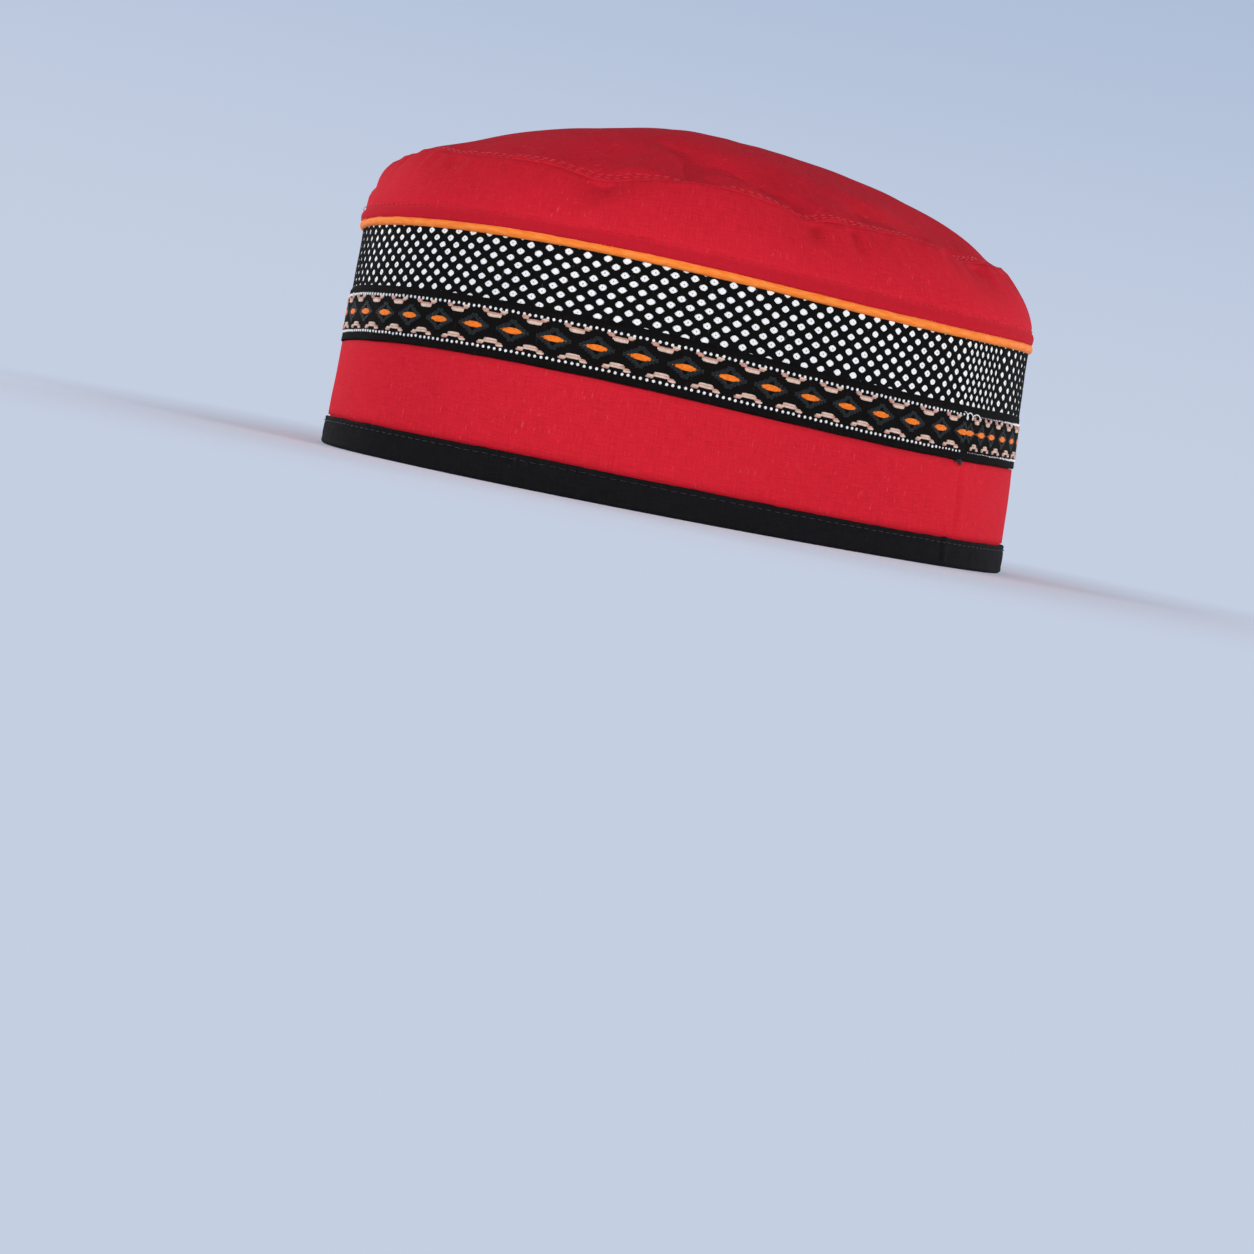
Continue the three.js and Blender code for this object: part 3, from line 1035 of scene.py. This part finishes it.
ARC_BARS = [
    Bar("rose", -2.8, 0.55, 1.9),
    Bar("rose", -2.5, 0.92, 1.6),
    Bar("cream", 2.8, 0.55, 1.9),
    Bar("rose", 2.5, 0.95, 1.5),
    Bar("rose", 0, 1.3, 4.3),
    Bar("cream", 0, 1.62, 4.2),
    Bar("cream", 0.1, 1.92, 3.7),
    Bar("cream", 0, 7.95, 3.6),
    Bar("rose", 0.1, 8.25, 4.1),
    Bar("cream", 0, 8.52, 4.1),
    Bar("cream", -2.6, 8.75, 1.8),
    Bar("rose", -2.9, 9.12, 1.9),
    Bar("rose", 2.6, 8.78, 1.8),
    Bar("cream", 2.9, 9.15, 1.9),
]
REPEAT = 11.63
TOP_DOTS = TRIM_TOP - 1.9
BOTTOM_DOTS = TRIM_BOTTOM + 2.4
JOIN_BEFORE, JOIN_AFTER = 28.5, 32
squeezed = [JOIN_AFTER, 38.3, 45.2, 53.8]
evenly = np.interp(np.arange(49), [0, 31, 40, 48], [64, 418.1, 520.8, 18.2 + ROUND])
lozenges = np.array([*squeezed, *evenly, JOIN_BEFORE + ROUND])
print("repeats round the ribbon:", len(lozenges))

# %% The black ribbon
trim_black = woven_cloth(
    Finish("trim_black", specular_ior_level=0.06),
    thread_mm=0.52,
    main=paint(19, 16, 15),
    deep=paint(12, 10, 10),
    pale=paint(52, 47, 44),
    fleck=0.4,
    depth_mm=0.12,
)
TRIM_JOIN = 29.6


def ribbon_swell(along, height):
    """The ribbon's soft waves, and the lap where one end lies over the other."""
    lap = 0.25 * seam_dip(along, TRIM_JOIN - 2, 2.2) - 0.15 * seam_dip(along, TRIM_JOIN + 0.8, 0.5)
    return lap + 0.12 * ripples(41, along, height, 30, 25)


def ribbon_waves(along, offset, height):
    outside = offset > wall_face(height) - 0.1
    edge = np.minimum(height - TRIM_BOTTOM, TRIM_TOP - height)
    selvedge = 0.12 * bell(edge - 0.5, 0.3)
    return outside * (selvedge + ribbon_swell(along, height))


trim_section = fine(
    [
        (wall_face(TRIM_BOTTOM) - 0.6, TRIM_BOTTOM + 0.05),
        (wall_face(TRIM_BOTTOM) + 0.1, TRIM_BOTTOM),
        (wall_face(TRIM_BOTTOM) + TRIM_FACE, TRIM_BOTTOM + 0.25),
        (wall_face(TRIM_TOP) + TRIM_FACE, TRIM_TOP - 0.25),
        (wall_face(TRIM_TOP) + 0.1, TRIM_TOP),
        (wall_face(TRIM_TOP) - 0.6, TRIM_TOP - 0.05),
    ],
    0.6,
)
trim_ribbon = cloth_ring("trim_ribbon", trim_section, trim_black, ribbon_waves)
ride_and_replace(trim_ribbon, "woven_trim", "woven_trim")


# %% A finish for yarn
def yarn_finish(name, colour):
    sheen = {"sheen_weight": 0.05, "sheen_roughness": 0.4}
    finish = Finish(name, roughness=0.6, specular_ior_level=0.2, **sheen)
    place = finish.node("ShaderNodeTexCoord", output=3)
    noise = finish.node("ShaderNodeTexNoise", {}, {"Vector": place, "Scale": 1400.0})
    darker = tuple(0.8 * value for value in colour[:3]) + (1.0,)
    finish.wear("Base Color", finish.mix(noise.between(0.35, 0.6), darker, colour))
    finish.raise_by(noise, 0.08)
    return finish.material


white_yarn = yarn_finish("white_yarn", paint(250, 250, 248))
print("finish:", white_yarn.name)


# %% From the chart to floats
def leaf_bars():
    """Each run of one letter in the chart, as (yarn, across, below, length) from the middle."""
    column = LEAF_SHARE * REPEAT / 2 / len(LEAF_CHART[0])
    found = []
    for row, text in enumerate(LEAF_CHART):
        below = LEAF_TOP + LEAF_ROW * (row + 0.5)
        for letter, run in itertools.groupby(enumerate(text), key=lambda pair: pair[1]):
            if letter in LEAF_YARNS:
                columns = [pair[0] for pair in run]
                across = column * (columns[0] + columns[-1] + 1) / 2
                length = column * len(columns) + 0.1
                for side in (-across, across):
                    found.append(Bar(LEAF_YARNS[letter], side, below, length))
    return found


def repeat_bars():
    """Every float round the ribbon, as rows of (along, height, length) for each yarn."""
    found = {yarn.name: [] for yarn in YARNS}
    gaps = np.diff(lozenges)
    for number, middle in enumerate(lozenges):
        squeeze = min(gaps[max(number - 1, 0)], gaps[min(number, len(gaps) - 1)]) / REPEAT
        for bar in leaf_bars():
            place = (middle + squeeze * bar.across, TOP_DOTS - bar.below, squeeze * bar.length)
            found[bar.yarn].append(place)
        for below, length in zip(LOZENGE_ROWS["below"], LOZENGE_ROWS["length"]):
            found["orange"].append((middle, TOP_DOTS - below, squeeze**0.35 * length))
    for left, gap in zip(lozenges, gaps):
        for bar in ARC_BARS:
            middle = left + gap / 2 + bar.across * gap / REPEAT
            found[bar.yarn].append((middle, TOP_DOTS - bar.below, bar.length * gap / REPEAT))
    return {name: np.array(rows) for name, rows in found.items()}


bars_by_yarn = repeat_bars()
print("floats:", {name: len(bars) for name, bars in bars_by_yarn.items()})


# %% Make the floats
def float_lines(bars, seed):
    """The middle lines of floats, and each one's direction outwards."""
    chance = np.random.default_rng(seed)
    share = np.linspace(-0.5, 0.5, 5)
    along = bars[:, :1] + share * bars[:, 2:] + chance.normal(0, 0.04, (len(bars), 1))
    heights = bars[:, 1:2] + chance.normal(0, 0.025, (len(bars), 5))
    arch = 0.1 * (1 - (2 * share) ** 4) - 0.02
    offset = wall_face(heights) + TRIM_FACE + arch + ribbon_swell(along, heights)
    return lay_threads(along, offset, heights)


for number, yarn in enumerate(YARNS):
    lines, outward = float_lines(bars_by_yarn[yarn.name], 43 + number)
    finish = yarn_finish(f"{yarn.name}_yarn", yarn.colour)
    shape = (yarn.radius_mm, finish, yarn.sides, yarn.flat, yarn.taper)
    floats = thread_mesh(f"trim_{yarn.name}_yarn", lines, outward, *shape)
    ride_and_replace(floats, "woven_trim")

# %% [markdown]
# The dots along the ribbon's edges are a white yarn that comes up for one short stitch at a
# time, seven to a repeat. We make each as a very short, thick float.

# %% The rows of white dots
DOTS_A_REPEAT = 7


def dot_lines():
    chance = np.random.default_rng(47)
    share = np.linspace(-0.5, 0.5, 5)
    spots = []
    for left, gap in zip(lozenges, np.diff(lozenges)):
        squeeze = min(1, gap / REPEAT) ** 2.2
        for height in (TOP_DOTS, BOTTOM_DOTS):
            for dot in range(DOTS_A_REPEAT):
                spots.append((left + gap * (dot + 0.5) / DOTS_A_REPEAT, height, squeeze))
    spots = np.array(spots)
    slant = chance.normal(0, 0.15, (len(spots), 1))
    along = spots[:, :1] + 0.85 * spots[:, 2:] * share + chance.normal(0, 0.05, (len(spots), 1))
    heights = spots[:, 1:2] + slant * share * 0.6 + chance.normal(0, 0.05, (len(spots), 1))
    offset = wall_face(heights) + TRIM_FACE + ribbon_swell(along, heights)
    return *lay_threads(along, offset, heights), spots[:, 2]


lines, outward, squeezes = dot_lines()
trim_dots = thread_mesh("trim_dots", lines, outward, 0.43 * squeezes, white_yarn, 6, 0.7, 0.12)
ride_and_replace(trim_dots, "woven_trim")

# %% [markdown]
# Where the ribbon's two ends overlap, some white yarn has come loose in small loops, and a few
# black ends hang out below. Such flaws are easy to add as threads, and they tell the eye that
# the cap was sewn by hand.

# %% Loose threads at the ribbon's join
def loose_loops():
    share = np.linspace(0, 1, 40)
    along = 27.5 + 8 * share + 0.9 * np.sin(5 * np.pi * share)
    heights = TOP_DOTS - 0.3 + 1.1 * np.cos(5 * np.pi * share) * (1 - 0.4 * share)
    offset = wall_face(heights) + TRIM_FACE + 0.35 + 0.2 * np.sin(9 * share)
    along, offset, heights = along[None, :], offset[None, :], heights[None, :]
    return lay_threads(along, offset, heights)


def black_ends(count=18):
    chance = np.random.default_rng(48)
    share = np.linspace(0, 1, 5)
    along = TRIM_JOIN - 1.5 + chance.normal(0, 0.6, (count, 1))
    along = along + chance.normal(0, 1.1, (count, 1)) * share
    heights = TRIM_BOTTOM + 0.5 - chance.uniform(0.8, 2.2, (count, 1)) * share
    offset = wall_face(heights) + 0.35 + 0.5 * share * chance.uniform(0.2, 1, (count, 1))
    return lay_threads(along, offset, heights)


join_loops = thread_mesh("join_loops", *loose_loops(), 0.17, white_yarn)
ride_and_replace(join_loops, "woven_trim")
join_ends = thread_mesh("join_ends", *black_ends(), 0.1, black_thread, 5)
ride_and_replace(join_ends, "woven_trim")

# %% [markdown]
# The orange piping
#
# Piping is a strip of cloth folded round a fine cord and caught in the seam, so it shows as
# a smooth bead. It is cut on the bias, and the weave runs across it at a slant. Where the red
# cloth meets it, the piping's raw edge has frayed into short pale hairs.


# %% Make the piping
def bias_cloth():
    finish = Finish("orange_piping", roughness=0.7, sheen_weight=0.05, specular_ior_level=0.15)
    u, v = finish.across_cloth()
    slant = (u * 6.2 + v * 9.0).sine()
    cross = (u * 6.2 - v * 9.0).sine()
    clouds = finish.noise(u * 0.25, v * 1.2, 4.0)
    colour = finish.mix(clouds.between(0.35, 0.65), paint(252, 127, 40), paint(255, 146, 60))
    finish.wear("Base Color", colour)
    finish.raise_by(slant * cross * 0.4 + clouds, 0.09)
    return finish.material


PIPING_PROUD = 1.1
PIPING_DEEP = 0.9


def piping_section():
    base = wall_face(PIPING_BOTTOM)
    back = base - PIPING_DEEP
    half = (PIPING_TOP - PIPING_BOTTOM) / 2
    middle = base + PIPING_PROUD - half
    bead = [
        (middle + half * math.cos(t), PIPING_BOTTOM + half + half * math.sin(t))
        for t in np.radians(np.linspace(-90, 90, 15))
    ]
    return fine([*bead, (back, PIPING_TOP), (back, PIPING_BOTTOM)], 0.5)


def piping_waves(along, offset, height):
    proud = np.clip((offset - wall_face(height) + 0.2) / 0.6, 0, 1)
    return proud * (
        0.07 * ripples(51, along, height, 7, 8) + 0.1 * ripples(52, along, height, 40, 30)
    )


piping_bead = cloth_ring("piping_bead", piping_section(), bias_cloth(), piping_waves, 900)
ride_and_replace(piping_bead, "orange_piping", "piping")


# %% The frayed edge
def fray_lines(count=700):
    chance = np.random.default_rng(53)
    share = np.linspace(0, 1, 4)
    along = chance.uniform(0, ROUND, (count, 1)) + chance.normal(0, 0.45, (count, 1)) * share
    reach = chance.uniform(0.25, 0.85, (count, 1))
    heights = PIPING_TOP - 0.25 + reach * share
    offset = wall_face(heights) + 0.62 + 0.5 * np.sin(np.pi * share) + chance.normal(0, 0.06)
    return lay_threads(along, offset, heights)


pale_orange = yarn_finish("pale_orange_thread", paint(255, 168, 110))
lines, outward = fray_lines()
piping_fray = thread_mesh("piping_fray", lines, outward, 0.055, pale_orange, 4)
ride_and_replace(piping_fray, "orange_piping")

# %% [markdown]
# The shoulder
#
# Above the piping a red band curves in to the top seam. The seam allowance inside lifts its
# lowest few millimetres, and a row of stitches holds it down there, so there is a soft ridge, then
# a groove. Below the stitches the red is painted darker, as painted shade of the crease along the
# piping. Close to the top seam it is gathered, and the gathers fade as they run down.


# %% The ridge and the tucks
RIDGE_STITCH = 3.2
CLOTH_THICK = 1.6
Tuck = namedtuple("Tuck", "turn width reach depth")
TUCKS = [
    Tuck(16, 2, 0.35, 0.6),
    Tuck(22.5, 1.6, 0.5, 0.5),
    Tuck(43, 4, 0.3, 0.6),
    Tuck(28, 2.2, 0.35, 0.8),
    Tuck(60, 2, 0.3, 0.5),
    Tuck(104, 2.4, 0.4, 0.6),
    Tuck(151, 2.4, 0.4, 0.6),
    Tuck(172, 1.8, 0.25, 0.4),
    Tuck(197, 2.2, 0.4, 0.6),
    Tuck(238, 2, 0.3, 0.4),
    Tuck(272, 1.6, 0.25, 0.4),
    Tuck(301, 3, 0.5, 0.85),
    Tuck(340, 1.8, 0.4, 1.1),
    Tuck(349, 1.2, 0.4, 1.0),
]
BOXY_CORNER = Tuck(226, 26, 0.25, 2)
print("tucks below the top seam:", len(TUCKS))


# %% Make the shoulder
def shoulder_waves(along, offset, height):
    share = np.clip((height - SHOULDER_BOTTOM) / SHOULDER_RISE, 0, 1)
    up = share * SHOULDER_RISE
    degrees = np.degrees(turn_at(along))
    ridge = 0.34 * bell(up - 1.4, 1.4) - 0.36 * bell(up - RIDGE_STITCH, 0.75)
    gathers = ripples(61, along, 0 * height, 8, 60) * share**3 * 0.3
    soft = 0.25 * ripples(62, along, height, 34, 26) * np.sin(np.pi * np.clip(share, 0.05, 1))
    for tuck in TUCKS:
        fading = np.clip((share - 1 + tuck.reach) / tuck.reach, 0, 1)
        beside = degrees_apart(degrees, tuck.turn) / tuck.width
        gathers = gathers - tuck.depth * fading * (bell(beside, 1) - 0.5 * bell(beside - 2, 1))
    beside = bell(degrees_apart(degrees, BOXY_CORNER.turn), BOXY_CORNER.width)
    height_profile = 0.3 * bell(share - 0.75, 0.2) - bell(share - 0.4, BOXY_CORNER.reach)
    soft = soft + BOXY_CORNER.depth * beside * height_profile
    meeting = np.clip((1 - share) / 0.06, 0, 1)
    return ridge + (gathers + soft) * meeting


def shoulder_section():
    shares = np.concatenate([[-0.024, -0.018], np.linspace(0, 1, 34)])
    outer = np.stack(shoulder_point(shares), axis=-1)
    outer[0, 0] -= 0.45
    outer[1, 0] -= 0.15
    under_top = [(SEAM_OFFSET - 0.08, SEAM_HEIGHT - 0.12)]
    inner = np.stack(shoulder_point(shares[::3], CLOTH_THICK), axis=-1)
    return np.concatenate([outer, under_top, inner[::-1]])


# Painted shade: the strip from the piping up to the ridge stitches is a darker red.
shoulder_red = red_weave("shoulder_cotton", seam_shade_mm=RIDGE_STITCH)
shoulder_cloth = cloth_ring("shoulder_cloth", shoulder_section(), shoulder_red, shoulder_waves)
ride_and_replace(shoulder_cloth, "red_cotton", "shoulder_band")

# %% Sew the ridge
ridge_offset, ridge_height = shoulder_point(RIDGE_STITCH / SHOULDER_RISE)
ridge_stitches = stitch_row(
    "ridge_stitches",
    float(ridge_height),
    float(ridge_offset - wall_face(ridge_height)) - 0.16,
    thread_finish("red_thread", paint(176, 26, 40)),
    length=1.6,
    pitch=2.7,
    thread=0.1,
    seed=63,
)
ride_and_replace(ridge_stitches, "red_cotton")

# %% [markdown]
# The domed top
#
# The top is one oval of cotton sewn to the shoulder. It isn't stiffened, so it domes softly
# and keeps the valleys that a hand pressed into it. We make it as rings round its middle. The map
# is the flat cloth seen from above, so the weave runs straight across the dome, as it does on
# a piece that was cut flat.


# %% The folds and the sewn edge
Fold = namedtuple("Fold", "from_x from_y to_x to_y width height")
FOLDS = [
    Fold(45, -42, 61, -34, 5.5, -2.5),
    Fold(32, -48, 53, -57, 5, -2.4),
    Fold(43, -72, 36, -54, 5.5, 1.4),
    Fold(52, -49, 58, -46, 4, 1.1),
    Fold(64, -8, 67, 14, 5, -1.7),
    Fold(50, -16, 60, 2, 7, 0.9),
    Fold(-16, -52, -4, -46, 13, -1.0),
    Fold(34, 40, 46, 50, 12, 0.6),
    Fold(52, 64, 67, 48, 6, -1.5),
    Fold(6, 50, 20, 76, 6, -1.4),
    Fold(-14, 20, 2, 48, 8, -1.2),
    Fold(-32, 44, -46, 66, 6, -1.5),
    Fold(-40, -6, -64, -14, 6, -1.4),
    Fold(-30, -40, -48, -62, 6, -1.3),
]
SEWN_LINES = (1.6, 2.9)


def fold_relief(x, y):
    """How far the folds lift or sink the dome, from a point's place seen from above."""
    total = 0
    for fold in FOLDS:
        run_x, run_y = fold.to_x - fold.from_x, fold.to_y - fold.from_y
        share = ((x - fold.from_x) * run_x + (y - fold.from_y) * run_y) / (run_x**2 + run_y**2)
        share = np.clip(share, 0, 1)
        beside = np.hypot(x - fold.from_x - share * run_x, y - fold.from_y - share * run_y)
        total = total + fold.height * bell(beside, fold.width)
    return total


def dome_place(along, share):
    """A place on the outside of the domed top, with its gathers, folds and sewn lines."""
    inside = (1 - share) * DOME_RADIUS
    near_edge = np.clip((share - 0.8) / 0.2, 0, 1)
    gathers = ripples(71, along, 0 * share, 10, 60) * near_edge**2 * 0.35
    soft = 0.3 * ripples(72, along, share * 90, 48, 38) * np.clip(share * 1.4, 0, 1)
    sewn = sum(-0.2 * bell(inside - line, 0.45) for line in SEWN_LINES)
    roll = 0.15 * bell(inside - 0.5, 0.9)
    offset, height = dome_point(share)
    places = lay(along, offset, height)
    settle = np.clip(inside / 0.8, 0, 1)
    seen_from_above = 1000 * places - CENTRING
    lifted = fold_relief(seen_from_above[..., 0], seen_from_above[..., 1])
    lifted = lifted * np.clip(inside / 5, 0, 1) + gathers + soft + sewn + roll
    places[..., 2] += settle * lifted / 1000
    return places


print("folds:", len(FOLDS), "middle of the top:", dome_place(0, 0.001).round(4))


# %% Make the domed top
TURNED_TO = 0.755
OUTSIDE_TURNED = 1.9
INSIDE_TURNED = 2.9


def crown_grid():
    """Rows from the seam to the middle, back inside, and down the edge that is turned in."""
    columns = 520
    along = np.arange(columns)[:, None] * ROUND / columns
    near_seam = 1 - np.linspace(0, 1, 26) * 0.1
    to_middle = np.linspace(0.9, 0.012, 56)
    shares = np.concatenate([near_seam, to_middle[1:]])[None, :]
    outer = dome_place(along, shares)
    inner_shares = shares[:, ::-4]
    inner_shares = inner_shares[:, inner_shares[0] < 0.955]
    inner = lay(along, *dome_point(inner_shares, CLOTH_THICK))
    turned_down = [
        shoulder_point(0.97, INSIDE_TURNED),
        shoulder_point(TURNED_TO, INSIDE_TURNED),
        shoulder_point(TURNED_TO, OUTSIDE_TURNED),
        shoulder_point(0.9, OUTSIDE_TURNED),
        shoulder_point(DOME_EDGE, OUTSIDE_TURNED),
        shoulder_point(DOME_EDGE, OUTSIDE_TURNED - 1.1),
    ]
    flange = lay(along, *np.array(turned_down, float).T[:, None, :])
    places = np.concatenate([outer, inner, flange], axis=1)
    rows = places.shape[1]
    faces, counted = grid_faces(columns, rows, True, True)
    apex_row = outer.shape[1] - 1
    faces = faces[counted[:, 0, 1] != apex_row]
    counted = counted[counted[:, 0, 1] != apex_row]
    around = np.arange(columns)
    caps = [around * rows + apex_row, (around * rows + apex_row + 1)[::-1]]
    flat = places[counted[..., 0] % columns, counted[..., 1] % rows, :2] * 1000
    every_face = [*faces.tolist(), *(cap.tolist() for cap in caps)]
    cap_maps = [places.reshape(-1, 3)[cap, :2] * 1000 for cap in caps]
    return places, every_face, np.concatenate([flat.reshape(-1, 2), *cap_maps])


crown_places, crown_faces, crown_map = crown_grid()
crown_cloth = make_piece("crown_cloth", crown_places, crown_faces, red_cotton, crown_map)
ride_and_replace(crown_cloth, "red_cotton", "crown_top")


# %% The two rows of stitches round the top
bright_thread = thread_finish("bright_thread", paint(207, 52, 62), roughness=0.5)


def seam_stitches(name, inside_mm, seed):
    chance = np.random.default_rng(seed)
    pitch, length = 2.6, 1.9
    number = int(ROUND * 0.9 / pitch)
    share = np.linspace(-0.5, 0.5, 6)
    middle = np.arange(number)[:, None] * ROUND / number
    along = middle + length * share * 1.12 + chance.normal(0, 0.06, (number, 1))
    radial = 1 - (inside_mm + chance.normal(0, 0.05, (number, 1))) / DOME_RADIUS + 0 * share
    places = dome_place(along, radial)
    onward = dome_place(along + 0.5, radial) - places
    inward = dome_place(along, radial - 0.004) - places
    outward = np.cross(onward, inward)
    outward /= np.linalg.norm(outward, axis=-1, keepdims=True)
    arch = 0.1 * (1 - (2 * share) ** 2) - 0.06
    places = places + outward * arch[:, None] / 1000
    return thread_mesh(name, places, outward, 0.12, bright_thread)


for name, inside_mm, seed in zip(("outer_seam", "inner_seam"), SEWN_LINES, (73, 74)):
    ride_and_replace(seam_stitches(f"{name}_stitches", inside_mm, seed), "red_cotton")

# %% [markdown]
# The floor and the light
#
# The cap stands in a pale blue studio. The floor curves up into the wall, so no line shows
# where they meet, and it does so all round. Close to the cap the paper is lit, and takes its
# shadow, and it also glows faintly there: painted light that softens that shadow. Farther off it
# glows in the paper's own tones, darker towards the top, because four lamps near the cap can't
# light a far wall evenly. The light is soft and comes mostly from the front, a little above: the
# side of the cap is bright and its top is darker, as in the picture.


# %% The studio
FLOOR_REACH = 1.5
CURVE = 1.4
WALL_REACH, WALL_HEIGHT = 2.92, 3.4
STUDIO_COLUMNS = 96


def studio_paper():
    finish = Finish(
        "studio_paper", roughness=0.9, specular_ior_level=0.0, emission_strength=1.0
    )
    place = finish.node("ShaderNodeTexCoord", output=3)
    height = finish.node("ShaderNodeSeparateXYZ", {}, [place], 2)
    from_middle = finish.node("ShaderNodeVectorMath", {"operation": "LENGTH"}, [place], 1)
    far = from_middle.between(0.07, 0.3)
    finish.wear("Base Color", finish.mix(far, paint(238, 241, 247), paint(0, 0, 0)))
    glow = finish.mix(height.between(0.0, 0.8), paint(197, 207, 226), paint(172, 189, 215))
    glow = finish.mix(height.between(0.8, 1.3), glow, paint(146, 161, 185))
    # Painted light: near the cap the paper also glows faintly, to soften the cap's shadow on it.
    finish.wear("Emission Color", finish.mix(far, paint(84, 88, 97), glow))
    return finish.material


def studio_floor():
    bend = np.linspace(0.1, 1.5, 24)
    flat = np.linspace(0.02, FLOOR_REACH, 20)
    radii = np.concatenate([flat, FLOOR_REACH + CURVE * np.sin(bend), [WALL_REACH]])
    rise = np.concatenate([0 * flat, CURVE - CURVE * np.cos(bend), [WALL_HEIGHT]])
    angle = 2 * np.pi * np.arange(STUDIO_COLUMNS)[:, None] / STUDIO_COLUMNS
    x, y, z = np.broadcast_arrays(radii * np.cos(angle), radii * np.sin(angle), rise)
    faces = grid_faces(STUDIO_COLUMNS, len(radii), True, False)[0][:, ::-1].tolist()
    middle = (np.arange(STUDIO_COLUMNS) * len(radii))[::-1].tolist()
    places = np.stack([x, y, z], axis=-1)
    return make_piece("studio_floor", places, [*faces, middle], studio_paper())


studio_floor()
print("the studio curves up from", FLOOR_REACH, "m")

# %% The lights
LIGHT_DISTANCE = 1.8
LIGHT_SIZE = 0.7
AIM_HEIGHT = 0.05
WARM = (1.0, 0.955, 0.9)
Lamp = namedtuple("Lamp", "name azimuth elevation power")
LAMPS = [
    Lamp("key", -9, 10, 15.4),
    Lamp("fill", 95, 10, 17.4),
    Lamp("rear_left", 175, 16, 5),
    Lamp("rear_right", 275, 16, 6),
]

for lamp in LAMPS:
    data = bpy.data.lights.new(lamp.name, "AREA")
    data.shape = "DISK"
    data.size = LIGHT_SIZE
    data.energy = lamp.power
    data.color = WARM
    light = bpy.data.objects.new(lamp.name, data)
    light.visible_camera = False
    away, side = directions(lamp.azimuth, lamp.elevation)
    stand(light, side, np.cross(away, side), away, away * LIGHT_DISTANCE + [0, 0, AIM_HEIGHT])

world = bpy.data.worlds.new("studio_air")
world.use_nodes = True
world.node_tree.nodes["Background"].inputs["Color"].default_value = paint(226, 232, 242)
world.node_tree.nodes["Background"].inputs["Strength"].default_value = 0.08
bpy.context.scene.world = world
bpy.context.scene.view_settings.view_transform = "Standard"
bpy.context.scene.view_settings.look = "None"
print("lights:", [o.name for o in bpy.data.objects if o.type == "LIGHT"])

# %% [markdown]
